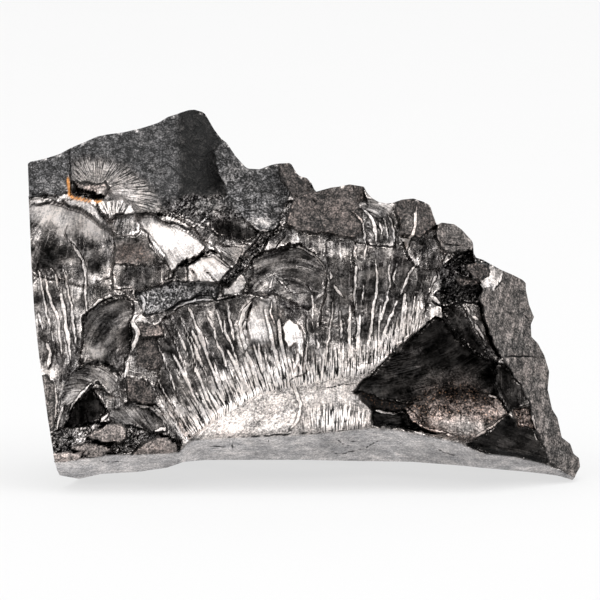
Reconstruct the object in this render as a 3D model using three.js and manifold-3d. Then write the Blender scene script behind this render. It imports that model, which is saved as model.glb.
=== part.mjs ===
// A broken piece of glossy shungite, about 50 mm across, as one closed faceted solid.
//
// The stone is shaped the way a real one breaks. A slab with the stone's outline is cut down by broad
// planes, then flakes are struck off its show face one after another, scars are hollowed out, and the
// raised hackle ridges and thin cracks of the fracture are laid over them.
//
// Everything is first built in the frame of the show face: x runs to the right along the face, y runs
// into the stone, away from whoever looks at the face, and z runs up the face. At the end the stone is
// laid on its bed, so that +Z is up and the bed is at z = 0.

import * as THREE from "three";
import { mergeVertices } from "three/addons/utils/BufferGeometryUtils.js";
import Module from "manifold-3d";

// ---------------------------------------------------------------- driving dimensions, in millimetres

const RECLINE = THREE.MathUtils.degToRad(8); // how far the show face leans back on the bed
const BED_RISE = -1.2; // height of the bed plane where it passes y = 0, in the frame of the face
const FAR = 60; // a distance that is outside the stone whichever way it is measured
const BEYOND_SLOPES = 40 * FAR; // a depth that no slanted plane reaches within FAR

// The broad lie of the show face: depth grows up the face, more so on the roof above the shoulder,
// and the face turns away past its right and left corners.
const FACE_LEAN = 0.17;
const SHOULDER_HEIGHT = 25;
const ROOF_LEAN = 0.55;
const RIGHT_CORNER = 16;
const RIGHT_TURN = 0.8;
const LEFT_CORNER = -20;
const LEFT_TURN = 0.2;
const FOOT_HEIGHT = 4;

// The underside rises to the lip of the show face at this slope, depth over height.
const UNDERCUT_SLOPE = -3.2;

// Outline of the stone seen square on to the show face, clockwise from the upper left corner, as x, z.
const OUTLINE = [
  [-25.2, 28.8], [-25, 29], [-22.3, 29.7], [-20, 30.8], [-18, 31.5], [-15, 32.05], [-13, 32.8],
  [-11.3, 33.5], [-10, 33.8], [-9, 33.4], [-8.6, 32.9], [-8.2, 32], [-7, 30.7], [-6.2, 29.5],
  [-5, 28.3], [-4, 28.3], [-2.5, 28.8], [-1.1, 28.8], [-0.6, 27.9], [0.5, 27.2], [1.1, 26.1],
  [3.3, 26.7], [4.5, 26.9], [5.5, 26.7], [6.2, 25.7], [6.8, 25.3], [8.1, 25.2], [10, 25.6],
  [11.5, 25], [12.1, 23.3], [13.7, 23.2], [14.3, 22.8], [15.4, 21.6], [14.5, 20.6], [16.3, 20.05],
  [18, 19.1], [19, 18.7], [20, 18.2], [20.4, 16], [21.05, 14.7], [20.75, 13], [21.5, 12.3],
  [22.45, 9.6], [22.15, 8], [22.6, 6.3], [23.1, 6], [23.6, 3.9], [24.2, 3.6], [25.3, 1.4],
  [24.6, -0.1], [23.3, 0.3], [21, 0.6], [18, 0.9], [15, 1.2], [10, 1.55], [5, 1.6], [0, 1.75],
  [-9, 1.75], [-11, 1.6], [-12.4, 1.1], [-15, 0.7], [-18.5, 0.5], [-20.5, 0.05], [-22.2, 0.4],
  [-22.5, 1.3], [-23.2, 5.5], [-24, 11], [-24.5, 15.5], [-24.8, 20], [-25, 25],
];

// The planes that close the stone behind. Each passes x, z at the given depth, and its depth changes
// by "turn" for each millimetre to the right and by "lean" for each millimetre up.
const BACK_PLANES = [
  { x: -10, z: 34.2, depth: 10.8, turn: 0.44, lean: -0.9 }, // top, left of the peak
  { x: -10, z: 34.2, depth: 10.8, turn: -0.45, lean: -0.9 }, // top, right of the peak
  { x: 20.4, z: 18.3, depth: 6.9, turn: -1.5, lean: -0.53 }, // right side
  { x: -25.2, z: 28.8, depth: 8.4, turn: 3.5, lean: 0.553 }, // left side
  { x: 0, z: 10, depth: 23.5, turn: 0.08, lean: -0.28 }, // back
  { x: -20, z: 10, depth: 19.5, turn: 0.9, lean: -0.25 }, // back, left
  { x: 12, z: 8, depth: 21, turn: -0.8, lean: -0.3 }, // back, right
  { x: 0, z: 3, depth: 24.8, turn: -0.1, lean: 0.9 }, // back, towards the bed
  { x: -2, z: 22, depth: 17.4, turn: -0.15, lean: -0.62 }, // back, above the middle
  { x: -15, z: 22, depth: 16.4, turn: 0.5, lean: -0.42 }, // back, upper left
  { x: 17, z: 3, depth: 16.8, turn: -0.9, lean: 0.3 }, // back, lower right
  { x: -15, z: 3, depth: 21, turn: 0.6, lean: 0.7 }, // back, lower left
];

// Flakes struck off the show face, in the order they were struck. "sink" is how far the middle of the
// flake lies under the broad lie of the face, and "lean" and "turn" are the slopes of its own plane. A
// flake with a "hollow" is dished that much deeper in its middle.
const FLAKES = [
  // The roof: matte slabs above the shoulder.
  { name: "roof slab", sink: 0, lean: 0.75, turn: 0.05, edge: [[-26, 29.5], [-21.3, 31], [-18, 32.5],
    [-13, 34], [-10, 35], [-7.2, 32], [-7.2, 26.2], [-8.5, 24.6], [-12.5, 24.6], [-14, 25.5],
    [-17.7, 26.4], [-21.3, 26.2], [-26, 25.6]] },
  { name: "roof corner block", sink: 0.2, lean: 0.6, turn: -0.25, edge: [[-26, 30], [-21.3, 31],
    [-21.3, 26.1], [-26, 25.8]] },
  { name: "peak band", sink: 0.4, lean: 0.5, turn: 0.35, edge: [[-10.9, 35], [-8.5, 35], [-6.8, 31],
    [-7.4, 26], [-10.7, 25.9]] },
  { name: "upper facet", sink: 0.7, lean: 0.5, turn: 0.3, edge: [[-8.3, 30], [-7, 31.5], [-5, 29.5],
    [-2.5, 29.8], [-1.2, 26], [-2, 25], [-2.2, 23], [-4.3, 23], [-5.3, 24], [-8, 24.5], [-7.2, 27]] },
  { name: "brown prism", sink: 0.5, lean: 0.4, turn: 0.4, edge: [[-2.6, 29.8], [-0.6, 29.8], [0, 28],
    [1.3, 26.4], [0, 25.7], [-1, 25.6], [-1.5, 26.9], [-2, 27.7]] },
  { name: "bluish lens", sink: 0.9, lean: 0.1, turn: 0, edge: [[-8.7, 23.9], [-5.5, 24], [-4.2, 22.7],
    [-4.5, 22.2], [-8, 22.5]] },
  { name: "valley wedge", sink: 0.2, lean: -0.1, turn: -0.3, edge: [[-8.2, 21.8], [-4.3, 21.3],
    [-6.3, 19.5]] },
  { name: "brown shelf", sink: -0.2, lean: 0.5, turn: 0.1, edge: [[-1.8, 24.3], [-1, 25.1], [1, 26.6],
    [4.2, 28], [5.3, 23.5], [5, 22.3], [3, 22], [0, 22.6], [-1.5, 22.5]] },
  { name: "shelf chip", sink: 0.5, lean: 0.3, turn: 0.7, edge: [[4.1, 28], [5.8, 28], [6.6, 25.5],
    [5, 25.2]] },

  // The left end below the roof.
  { name: "left scoop", hollow: 0.8, sink: 1, lean: -0.15, turn: 0, edge: [[-26, 22.8], [-21, 22.6],
    [-18.5, 21.8], [-17, 21], [-17.5, 18.5], [-19.8, 17.5], [-26, 19]] },
  { name: "top left band", sink: -0.4, lean: 0.75, turn: -0.1, edge: [[-26, 25.2], [-22.5, 25.2],
    [-20.5, 24.7], [-18.5, 23.3], [-17.2, 22.5], [-18.5, 21.8], [-21, 22.6], [-26, 22.8]] },
  { name: "upper ledge", sink: -0.6, lean: 0.7, turn: 0, edge: [[-26, 25.6], [-24, 25.9], [-23, 25.7],
    [-20, 25.3], [-19.3, 25], [-20.5, 24.7], [-22.5, 25.1], [-26, 25.1]] },
  { name: "striated scar", hollow: 0.7, sink: 0.7, lean: 0.5, turn: -0.15, edge: [[-20.4, 27.3],
    [-19.8, 29.2], [-18.3, 29.3], [-16.5, 29], [-14, 27.5], [-12.8, 24.7], [-14.5, 24.4],
    [-17.7, 25.5]] },
  { name: "pit", sink: 2.4, lean: 0.1, turn: 0, edge: [[-21.4, 27.2], [-20.5, 27.4], [-18.6, 26.9],
    [-17.9, 26.9], [-17.7, 26.4], [-18.6, 25.6], [-21.2, 26]] },
  { name: "small fan", sink: -0.1, lean: 0.7, turn: 0.1, edge: [[-19.2, 25.3], [-16.5, 25.8],
    [-15, 24.7], [-14.8, 24.2], [-17, 24], [-17.8, 23.7]] },
  { name: "rayed lens", sink: 0.5, lean: 0.2, turn: -0.2, edge: [[-18, 23.6], [-16, 24.1],
    [-14.8, 24.2], [-15, 22.3], [-16.5, 22]] },
  { name: "brown patch", sink: 0.3, lean: 0.2, turn: -0.2, edge: [[-16.8, 21.7], [-14.5, 22.2],
    [-13.2, 20.3], [-14, 19.8], [-18, 20]] },

  // The bright shells and the valley beside them.
  { name: "first shell", hollow: 0.5, sink: -0.6, lean: 0.55, turn: -0.35, edge: [[-14.7, 24.2],
    [-11.5, 23.2], [-10.3, 22.3], [-9, 21.2], [-9.5, 20.5], [-10.4, 20.2], [-12, 18.9], [-13, 20.3],
    [-14.2, 22.1]] },
  { name: "second shell", hollow: 0.4, sink: -0.5, lean: 0.5, turn: 0.2, edge: [[-10.5, 19.6], [-8.8, 20.6],
    [-7.5, 20.2], [-6.5, 19.3], [-7.8, 17.9], [-10.5, 18]] },
  { name: "small lobe", sink: -0.6, lean: 0.5, turn: -0.1, edge: [[-7, 17.3], [-6.4, 18.5],
    [-5.3, 18.7], [-5.2, 17.5], [-6, 16.9]] },
  { name: "valley", sink: 1.4, lean: 0.1, turn: 0, edge: [[-7.8, 17.6], [-6.2, 19.4], [-4.8, 21],
    [-3.8, 22.5], [-2.3, 23.3], [-1.5, 25.4], [-0.8, 25], [-1.7, 22.8], [-3, 22], [-4, 20.6],
    [-5.4, 19], [-6.8, 17.4]] },

  // The middle of the face.
  { name: "arc scar", hollow: 0.9, sink: 0.7, lean: 0.1, turn: -0.05, edge: [[-4.6, 20.2], [-2.5, 21],
    [-0.5, 21.6], [1, 20.9], [1.8, 19.9], [2.1, 18.5], [2, 17], [0.5, 15.5], [-2.5, 16.8],
    [-5, 17.2]] },
  { name: "dark strip", sink: 0.7, lean: 0, turn: 0.1, edge: [[2.1, 21.5], [4.5, 21.8], [4.6, 15.5],
    [3, 13.9], [1.5, 14.2], [2, 17.2]] },
  { name: "ringed facet", sink: 0.2, lean: 0.35, turn: 0, edge: [[5.6, 26.5], [8.1, 27], [8.6, 22.3],
    [8, 21.2], [6, 21], [5.7, 23.3]] },
  { name: "ridged face", sink: 0, lean: 0.1, turn: 0.05, edge: [[4.6, 21.5], [8, 21.2], [9.4, 21.6],
    [10.2, 19.4], [12.3, 19], [11.3, 16.7], [10.2, 14.1], [7, 10.9], [4.8, 10.4], [4.6, 15.5]] },
  { name: "round knob", sink: -0.8, lean: 0.4, turn: 0.15, edge: [[8.1, 27], [11.6, 27], [12.2, 23.3],
    [10.5, 22], [8.8, 22.3]] },
  { name: "knob shadow", sink: 0.8, lean: 0.1, turn: 0.2, edge: [[10.5, 22], [12.1, 22], [12.4, 21],
    [13, 20.7], [12.3, 19], [10, 19.4], [9, 21.5]] },
  { name: "lens knob", sink: -1, lean: 0.35, turn: 0.3, edge: [[12.1, 24.5], [14.5, 24], [16.5, 21.9],
    [15.4, 21], [14.3, 20.7], [13, 20.7], [12.4, 21], [12.1, 22]] },
  { name: "rough cluster", sink: 0.9, lean: 0.4, turn: 0.2, edge: [[12.3, 19], [14.3, 20.7],
    [15.5, 21], [17.4, 20.2], [16.2, 18.3], [14.2, 18.4], [12.5, 17]] },
  { name: "cluster foot", sink: 0.5, lean: 0, turn: 0.3, edge: [[12, 17], [14.2, 18.4], [15.7, 17.9],
    [16.2, 17.2], [16.1, 16], [14.3, 16.1], [12.5, 15.7], [11.6, 16.2]] },

  // The right end.
  { name: "right flank", sink: 0.4, lean: 0.2, turn: 1, edge: [[16.1, 17.2], [16.8, 21], [21.5, 19.5],
    [22.5, 14.7], [24, 9.6], [24.5, 6], [27, 1.4], [26, -2], [23.5, 0.8], [22.2, 2.7], [21.5, 4],
    [20.6, 7], [19.9, 9], [18.7, 10], [18, 11.1], [16.8, 13.5], [16.1, 16]] },
  { name: "dark triangle", hollow: 1.5, sink: 1.6, lean: 0.12, turn: 0.12, edge: [[12, 14.9], [12.8, 14.8],
    [13.5, 13.7], [15, 12], [16.5, 11], [17.3, 10.5], [17.5, 8], [18.7, 6], [17, 4.7], [15, 3.6],
    [10, 5], [6, 6.9], [4.2, 8.1]] },
  { name: "triangle floor", sink: 1.5, lean: -0.5, turn: 0.05, edge: [[8.6, 6.2], [12, 7.6],
    [18.2, 7.4], [18.7, 6], [17, 4.7], [15, 3.6], [10, 5]] },
  { name: "inner sliver", sink: 0.4, lean: 0.1, turn: -0.3, edge: [[12.5, 15.7], [14.3, 16],
    [15.8, 13], [17.5, 10.8], [16.5, 11], [15, 12], [13.5, 13.7], [12.8, 14.8]] },
  { name: "outer sliver", sink: 0.9, lean: 0, turn: 0.2, edge: [[14.3, 16], [16.1, 16], [16.8, 13.5],
    [18, 11.1], [17.5, 10.8], [15.8, 13]] },
  { name: "lower right facet", sink: 0.6, lean: -0.1, turn: 0.6, edge: [[14.6, 3.4], [18.6, 5.8],
    [21, 4.5], [22.5, 1.8], [17.4, 2.1]] },

  // The foot of the face, with its two silvery bands, and the hackle face above them.
  { name: "hackle face", sink: 0.3, lean: 0.1, turn: -0.1, edge: [[-12.8, 12.6], [-11.5, 15.5],
    [-8, 16.3], [-5, 17], [-3, 16.5], [-1.3, 14.8], [0, 13.3], [0.5, 10], [-1.5, 8.8], [-5, 7],
    [-8.5, 5], [-10.5, 3.9], [-11.5, 6], [-12.3, 9]] },
  { name: "left silver band", sink: -0.3, lean: 0.4, turn: 0, edge: [[-11, 3], [-8.5, 5], [-5, 7],
    [-1.5, 8.8], [0, 7], [-0.5, 3], [-3, 3]] },
  { name: "right silver band", sink: -0.1, lean: 0.3, turn: 0, edge: [[0, 7], [-1.3, 8.8], [0, 9.5],
    [2, 10.2], [5.5, 10.5], [6, 7], [5.8, 3], [-0.5, 3]] },
  { name: "leaf knob", sink: -0.9, lean: 0.3, turn: -0.3, edge: [[-1.3, 14.8], [-0.5, 14.2], [0, 13.3],
    [0, 12], [-0.9, 10.2], [-1.2, 12], [-2, 12.2], [-2.1, 13.6]] },
  { name: "bulge", sink: -0.6, lean: 0.3, turn: 0.1, edge: [[-6, 12.5], [-5.8, 15], [-4.5, 16.8],
    [-3, 16.6], [-2.2, 14.5], [-2.8, 12], [-4, 11.5]] },

  // The lower left.
  { name: "dark lens", hollow: 0.8, sink: 0.7, lean: -0.1, turn: -0.1, edge: [[-20.4, 13], [-19.8, 15],
    [-18, 16.3], [-16.8, 16.7], [-15.3, 16.5], [-15.6, 11.5], [-17, 10.3], [-19, 10.7], [-20.4, 10.5]] },
  { name: "mid shelf", sink: 0.6, lean: 0.2, turn: 0, edge: [[-15.3, 16.8], [-12, 18], [-10.5, 18],
    [-7.8, 17.8], [-8, 16.3], [-11, 15.8], [-14.8, 14.9]] },
  { name: "shell scar", hollow: 0.4, sink: 0.1, lean: 0.4, turn: -0.1, edge: [[-20.9, 9.5], [-20.2, 10.3],
    [-19, 10.6], [-17.7, 10.2], [-16.9, 9.6], [-17, 8.5], [-18.3, 8], [-20, 8.3]] },
  { name: "black notch", sink: 1.3, lean: 0, turn: 0, edge: [[-20.8, 6.5], [-19, 8], [-17.8, 6.5],
    [-18.5, 5], [-21.5, 5]] },
  { name: "lower arc", sink: 0.5, lean: 0.3, turn: 0, edge: [[-17.5, 7.7], [-16, 7.2], [-13.2, 6.5],
    [-12.3, 4.7], [-13, 4.2], [-16.1, 4.9], [-17.8, 6.4]] },
  { name: "brown step", sink: -0.1, lean: 0.1, turn: 0.15, edge: [[-16.2, 9], [-14.5, 9], [-13, 6.8],
    [-16.2, 7.2]] },
  { name: "middle step", sink: 0, lean: 0.2, turn: -0.1, edge: [[-15, 12.8], [-13, 12.6],
    [-12.8, 10.3], [-15, 10.2]] },
  { name: "upper step", sink: -0.3, lean: 0.1, turn: 0.1, edge: [[-14.8, 14.3], [-13, 14],
    [-12.5, 12.8], [-14.8, 13.1]] },
  { name: "left edge facet", sink: 0.2, lean: 0, turn: -0.4, edge: [[-24.5, 9.3], [-22.5, 9],
    [-22.2, 6], [-22.7, 4], [-24.5, 4]] },
  { name: "upper pebble", sink: -0.8, lean: 0.5, turn: 0, edge: [[-19.8, 4.2], [-17, 5.2],
    [-16.1, 4.9], [-16, 4], [-19.5, 3.6]] },
  { name: "lower pebble", sink: -0.6, lean: 0.4, turn: 0, edge: [[-23.5, 2.3], [-20.3, 3.2],
    [-18.8, 3.5], [-17.4, 2.8], [-23.5, 1.4]] },
  { name: "right pebble", sink: -0.5, lean: 0.4, turn: 0, edge: [[-15.3, 2.4], [-13.9, 3.7],
    [-12.8, 3.8], [-11.4, 3.1], [-12.5, 2.3]] },
];

const FLAKE_OVERLAP = 1.03; // how far a flake reaches past its outline, as a factor about its middle
const DISH_REACH = 2.5; // half depth of the ball that dishes a flake, over the depth of the dish
const DISH_SIDES = 12; // faces round that ball
const DISH_ROWS = 6; // and from its front to its back
const SCAR_DETAIL = 4; // how finely the balls that hollow the back are faceted

// The lip of the show face, where the underside is undercut, as x, z from left to right.
const LIP = [
  [-24, 1.5], [-17.5, 2.3], [-12.2, 2.5], [-9.6, 3.6], [-7, 3.85], [0, 4.1], [6, 4.7], [10, 4.2],
  [14, 3.4], [16, 2.5], [19.3, 2.1], [22, 1.4], [26, -0.4],
];

// Shell-like scars of the back and the sides: where the middle lies, as seen through the stone from
// the front, the radius of the rim, and how deep the middle is hollowed.
const BACK_SCARS = [
  { x: -12, z: 26, rim: 5.5, hollow: 0.8 },
  { x: 3, z: 20, rim: 6.5, hollow: 1 },
  { x: -4, z: 11, rim: 7.5, hollow: 1.1 },
  { x: 12, z: 14, rim: 5.5, hollow: 0.9 },
  { x: -16, z: 12, rim: 6, hollow: 1 },
  { x: 14, z: 5, rim: 4.5, hollow: 0.7 },
  { x: 6, z: 5, rim: 4, hollow: 0.6 },
  { x: -22.5, z: 16, rim: 6, hollow: 0.9 },
  { x: -23, z: 23, rim: 3.2, hollow: 0.5 },
  { x: 20.8, z: 11, rim: 4, hollow: 0.6 },
];

// Large hollows that thin the top edge from behind: the middle of a sphere and its radius.
const TOP_HOLLOWS = [
  { x: 3, y: 20, z: 37, radius: 16.8 },
  { x: 15, y: 20, z: 30, radius: 16.6 },
  { x: -20, y: 24, z: 38, radius: 16.2 },
];

// A ridge or crack is a bar of diamond section. Its middle stands out of the face and its ends lie
// inside it, both given over its half thickness.
const BAR_PROUD = 0.1;
const BAR_END_SINK = 1.3;
const BAR_STEPS = 2;

// Raised ridges of the show face: half thickness, then the points that the crest passes.
const RIDGES = [
  { radius: 0.3, crest: [[-24.2, 19.6], [-23.2, 15], [-22.6, 9.5]] },
  { radius: 0.3, crest: [[-23.2, 19], [-22.2, 16.5], [-21.5, 10.5]] },
  { radius: 0.25, crest: [[-22.2, 19.6], [-21.3, 17.5], [-20.7, 11.5]] },
  { radius: 0.35, crest: [[-21.8, 22.6], [-21, 21.2], [-20.1, 19.3], [-19.8, 15.5]] },
  { radius: 0.25, crest: [[-20, 14.5], [-19, 16], [-17.5, 17]] },
  { radius: 0.35, crest: [[-14.8, 16.8], [-15.1, 13.5], [-16, 11], [-16.4, 9]] },
  { radius: 0.25, crest: [[-18.8, 9.7], [-20.8, 7.2], [-21.4, 5.8]] },
  { radius: 0.25, crest: [[-14.4, 22], [-13.3, 20.4], [-12.2, 19]] },
  { radius: 0.35, crest: [[4.8, 24.4], [5.4, 22.5], [5.5, 19]] },
  { radius: 0.45, crest: [[5.9, 24.4], [6.6, 20.5], [6.5, 15.2]] },
  { radius: 0.3, crest: [[4.5, 21.6], [4.8, 18.5], [4.6, 15.4]] },
  { radius: 0.25, crest: [[0.3, 18], [0.9, 15.5], [0.8, 13.7]] },
  { radius: 0.25, crest: [[2.7, 16.5], [2.3, 14], [2, 11.2]] },
  { radius: 0.3, crest: [[8.4, 19.8], [8.5, 17], [8, 14.2]] },
  { radius: 0.35, crest: [[10.3, 25], [10.3, 23.6], [9, 21.6]] },
  { radius: 0.3, crest: [[12.2, 18.8], [11.2, 16.6], [10.2, 14.2]] },
  { radius: 0.3, crest: [[-1.2, 9.4], [-0.6, 8], [-0.2, 6.2], [-1.4, 4.4]] },
];

// The hackle fan: ridges that stand on a base line, fine at the foot and closing up into coarse ones.
const FAN_BASE = [[-10.6, 4.4], [-8.6, 5.4], [-5, 7.3], [-1.6, 9], [1.4, 10.2], [4.4, 10.7], [7, 11]];
const FAN_RIDGES = 18;
const FAN_RIDGE_RADIUS = 0.26;
const FAN_HEIGHTS = [8.6, 6.4, 9.4, 5.6, 7.6]; // lengths of successive ridges, over and over
const FAN_TILT_LEFT = -0.5; // sideways lean of the fan's left end, across over up
const FAN_TILT_RIGHT = 0.16; // and of its right end
const FAN_SHORTENING = 0.35; // how much shorter the ridges are at its right end, as a share
const FAN_BEND = 1.5; // power of the height by which a ridge leans aside, so that it curves

// Thin cracks and dark creases: half width, then the points that they pass.
const CRACKS = [
  { radius: 0.2, crest: [[-21.3, 30.4], [-21.2, 28.8], [-21.4, 27.2]] },
  { radius: 0.3, crest: [[-12, 18.9], [-10.4, 20.1], [-8.5, 20.8]] },
  { radius: 0.3, crest: [[-19.2, 25], [-18, 23.6], [-16.8, 22.2]] },
  { radius: 0.2, crest: [[1, 25], [2.4, 25.1], [3.8, 25]] },
  { radius: 0.2, crest: [[18, 11.1], [20, 11.2], [21.9, 11]] },
  { radius: 0.18, crest: [[12.6, 21.7], [13.6, 21.4], [15, 21.4]] },
];

// ---------------------------------------------------------------- solids

const MERGE_DISTANCE = 1e-4; // corners nearer than this are one corner

const wasm = await Module();
wasm.setup();

// A closed three.js geometry as a solid that can be joined and cut.
function solidOf(geometry) {
  geometry.deleteAttribute("normal");
  geometry.deleteAttribute("uv");
  const merged = mergeVertices(geometry, MERGE_DISTANCE);
  return new wasm.Manifold(new wasm.Mesh({
    numProp: 3,
    vertProperties: merged.attributes.position.array,
    triVerts: new Uint32Array(merged.index.array),
  }));
}

// A solid back as a three.js geometry.
function geometryOf(solid) {
  const mesh = solid.getMesh();
  const geometry = new THREE.BufferGeometry();
  geometry.setAttribute("position", new THREE.BufferAttribute(mesh.vertProperties, 3));
  geometry.setIndex(new THREE.BufferAttribute(mesh.triVerts, 1));
  return geometry;
}

// A column along y over an outline in x and z. Each end lies at the depth that its function gives, so
// an end can be a slanted plane.
function column(outline, near, far) {
  const shape = new THREE.Shape(outline.map(([x, z]) => new THREE.Vector2(x, z)));
  const geometry = new THREE.ExtrudeGeometry(shape, { depth: 1, bevelEnabled: false, steps: 1 });
  geometry.rotateX(Math.PI / 2);
  const place = geometry.attributes.position;
  for (let i = 0; i < place.count; i += 1) {
    const end = place.getY(i) > -0.5 ? far : near;
    place.setY(i, end(place.getX(i), place.getZ(i)));
  }
  return solidOf(geometry);
}

// The depth function of a plane through x, z at a depth, with its two slopes.
function slope({ x, z, depth, turn, lean }) {
  return (px, pz) => depth + turn * (px - x) + lean * (pz - z);
}

const EVERYWHERE = [[-FAR, -FAR], [FAR, -FAR], [FAR, FAR], [-FAR, FAR]];
const inFront = () => -FAR;
const behind = () => 3 * FAR;

// ---------------------------------------------------------------- depth of the show face

// The broad lie of the face, as the deepest of its planes.
const FACE_PLANES = [];
for (const [corner, turn] of [[0, 0], [RIGHT_CORNER, RIGHT_TURN], [LEFT_CORNER, -LEFT_TURN]]) {
  for (const lean of [0, ROOF_LEAN]) {
    const depth = (SHOULDER_HEIGHT - FOOT_HEIGHT) * FACE_LEAN;
    FACE_PLANES.push({ x: corner, z: SHOULDER_HEIGHT, depth, turn, lean: FACE_LEAN + lean });
  }
}

function broadDepth(x, z) {
  return Math.max(...FACE_PLANES.map((plane) => slope(plane)(x, z)));
}

function centreOf(edge) {
  const sum = edge.reduce(([ax, az], [x, z]) => [ax + x, az + z], [0, 0]);
  return sum.map((value) => value / edge.length);
}

// A flake's outline carried a little past its neighbours, so that no two flakes end on one wall.
function struckEdge(edge) {
  const [cx, cz] = centreOf(edge);
  return edge.map(([x, z]) => [cx + FLAKE_OVERLAP * (x - cx), cz + FLAKE_OVERLAP * (z - cz)]);
}

// A flake's own plane, which passes its middle at its sink below the broad lie.
function planeOf(flake) {
  const [x, z] = centreOf(flake.edge);
  return slope({ x, z, depth: broadDepth(x, z) + flake.sink, turn: flake.turn, lean: flake.lean });
}

function isInside(edge, x, z) {
  let inside = false;
  edge.forEach(([ax, az], i) => {
    const [bx, bz] = edge[(i + 1) % edge.length];
    const crosses = az > z !== bz > z && x < ax + ((z - az) / (bz - az)) * (bx - ax);
    inside = crosses ? !inside : inside;
  });
  return inside;
}

// Depth of the struck face, before its hollows and ridges: the last flake that covers the point rules.
function faceDepth(x, z) {
  const over = FLAKES.filter((flake) => isInside(flake.edge, x, z));
  return over.length ? planeOf(over.at(-1))(x, z) : broadDepth(x, z);
}

// The plane that bounds the back at a point: the nearest of them.
function backPlaneAt(x, z) {
  return BACK_PLANES.reduce((best, plane) => (slope(plane)(x, z) < slope(best)(x, z) ? plane : best));
}

// ---------------------------------------------------------------- what is cut and what is laid on

// A squashed ball that dishes the show face by the given amount at its middle, out to its half sizes.
function dish({ x, z, depth, halfWidth, halfHeight, hollow }) {
  const reach = DISH_REACH * hollow;
  const rim = Math.sqrt(1 - ((reach - hollow) / reach) ** 2);
  const ball = new THREE.SphereGeometry(1, DISH_SIDES, DISH_ROWS);
  ball.scale(halfWidth / rim, reach, halfHeight / rim);
  ball.translate(x, depth - reach + hollow, z);
  return solidOf(ball);
}

// The dish of a flake, kept within the flake's outline.
function flakeDish({ edge, hollow }, plane) {
  const [x, z] = centreOf(edge);
  const halfWidth = Math.max(...edge.map(([px]) => Math.abs(px - x)));
  const halfHeight = Math.max(...edge.map(([, pz]) => Math.abs(pz - z)));
  const ball = dish({ x, z, depth: plane(x, z), halfWidth, halfHeight, hollow });
  return ball.intersect(column(struckEdge(edge), inFront, behind));
}

function ballAt({ x, y, z, radius }) {
  const ball = new THREE.IcosahedronGeometry(radius, SCAR_DETAIL);
  ball.translate(x, y, z);
  return solidOf(ball);
}

// A shallow scar of the back: a ball that stands off along the back's own normal.
function backScar({ x, z, rim, hollow }) {
  const plane = backPlaneAt(x, z);
  const outwards = new THREE.Vector3(-plane.turn, 1, -plane.lean).normalize();
  const radius = (rim ** 2 + hollow ** 2) / (2 * hollow);
  const middle = new THREE.Vector3(x, slope(plane)(x, z), z);
  middle.addScaledVector(outwards, radius - hollow);
  return ballAt({ x: middle.x, y: middle.y, z: middle.z, radius });
}

// A bar of diamond section that follows the face, proud of it in the middle and sunk at both ends.
function bar({ radius, crest }) {
  const last = crest.length - 1;
  const route = crest.map(([x, z], i) => {
    const sunk = i === 0 || i === last ? BAR_END_SINK : -BAR_PROUD;
    return new THREE.Vector3(x, faceDepth(x, z) + sunk * radius, z);
  });
  const diamond = new THREE.Shape();
  diamond.moveTo(radius, 0);
  diamond.lineTo(0, radius);
  diamond.lineTo(-radius, 0);
  diamond.lineTo(0, -radius);
  const path = new THREE.CatmullRomCurve3(route);
  const options = { steps: BAR_STEPS, extrudePath: path, bevelEnabled: false };
  return solidOf(new THREE.ExtrudeGeometry(diamond, options));
}

// The ridges of the hackle fan, spaced evenly along its base line.
function fanRidges() {
  const base = new THREE.CatmullRomCurve3(FAN_BASE.map(([x, z]) => new THREE.Vector3(x, 0, z)));
  return Array.from({ length: FAN_RIDGES }, (_, i) => {
    const along = (i + 0.5) / FAN_RIDGES;
    const foot = base.getPointAt(along);
    const tilt = THREE.MathUtils.lerp(FAN_TILT_LEFT, FAN_TILT_RIGHT, along);
    const height = FAN_HEIGHTS[i % FAN_HEIGHTS.length] * (1 - FAN_SHORTENING * along);
    const crest = [0, 0.5, 1].map((up) => [
      foot.x + tilt * height * up ** FAN_BEND,
      foot.z + height * up,
    ]);
    return { radius: FAN_RIDGE_RADIUS, crest };
  });
}

// The undercut below the lip, one slanted face under each stretch of the lip.
function undercutFaces() {
  return LIP.slice(1).map((end, i) => {
    const [ax, az] = LIP[i];
    const [bx, bz] = end;
    const from = broadDepth(ax, az);
    const to = broadDepth(bx, bz);
    const turn = (to - from - UNDERCUT_SLOPE * (bz - az)) / (bx - ax);
    const plane = slope({ x: ax, z: az, depth: from, turn, lean: UNDERCUT_SLOPE });
    return column([[ax, az], [ax, -FAR], [bx, -FAR], [bx, bz]], inFront, plane);
  });
}

// ---------------------------------------------------------------- the stone

// The slab with its back, sides and bed broken to shape, and its show face still whole.
function makeBlank() {
  let blank = column(OUTLINE, inFront, behind);
  const bed = { x: 0, z: BED_RISE, depth: 0, turn: 0, lean: 1 / Math.tan(RECLINE) };
  for (const plane of [...BACK_PLANES, bed]) {
    blank = blank.subtract(column(EVERYWHERE, slope(plane), () => BEYOND_SLOPES));
  }
  for (const scar of BACK_SCARS) {
    blank = blank.subtract(backScar(scar));
  }
  for (const hollow of TOP_HOLLOWS) {
    blank = blank.subtract(ballAt(hollow));
  }
  return blank;
}

// The show face struck down to its broad lie, then flake by flake.
function strikeFace(blank) {
  let stone = blank;
  for (const plane of FACE_PLANES) {
    stone = stone.subtract(column(EVERYWHERE, () => -BEYOND_SLOPES, slope(plane)));
  }
  for (const flake of FLAKES) {
    const plane = planeOf(flake);
    const edge = struckEdge(flake.edge);
    stone = stone.subtract(column(edge, inFront, plane));
    stone = stone.add(column(edge, plane, behind).intersect(blank));
    if (flake.hollow) {
      stone = stone.subtract(flakeDish(flake, plane));
    }
  }
  return stone;
}

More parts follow.
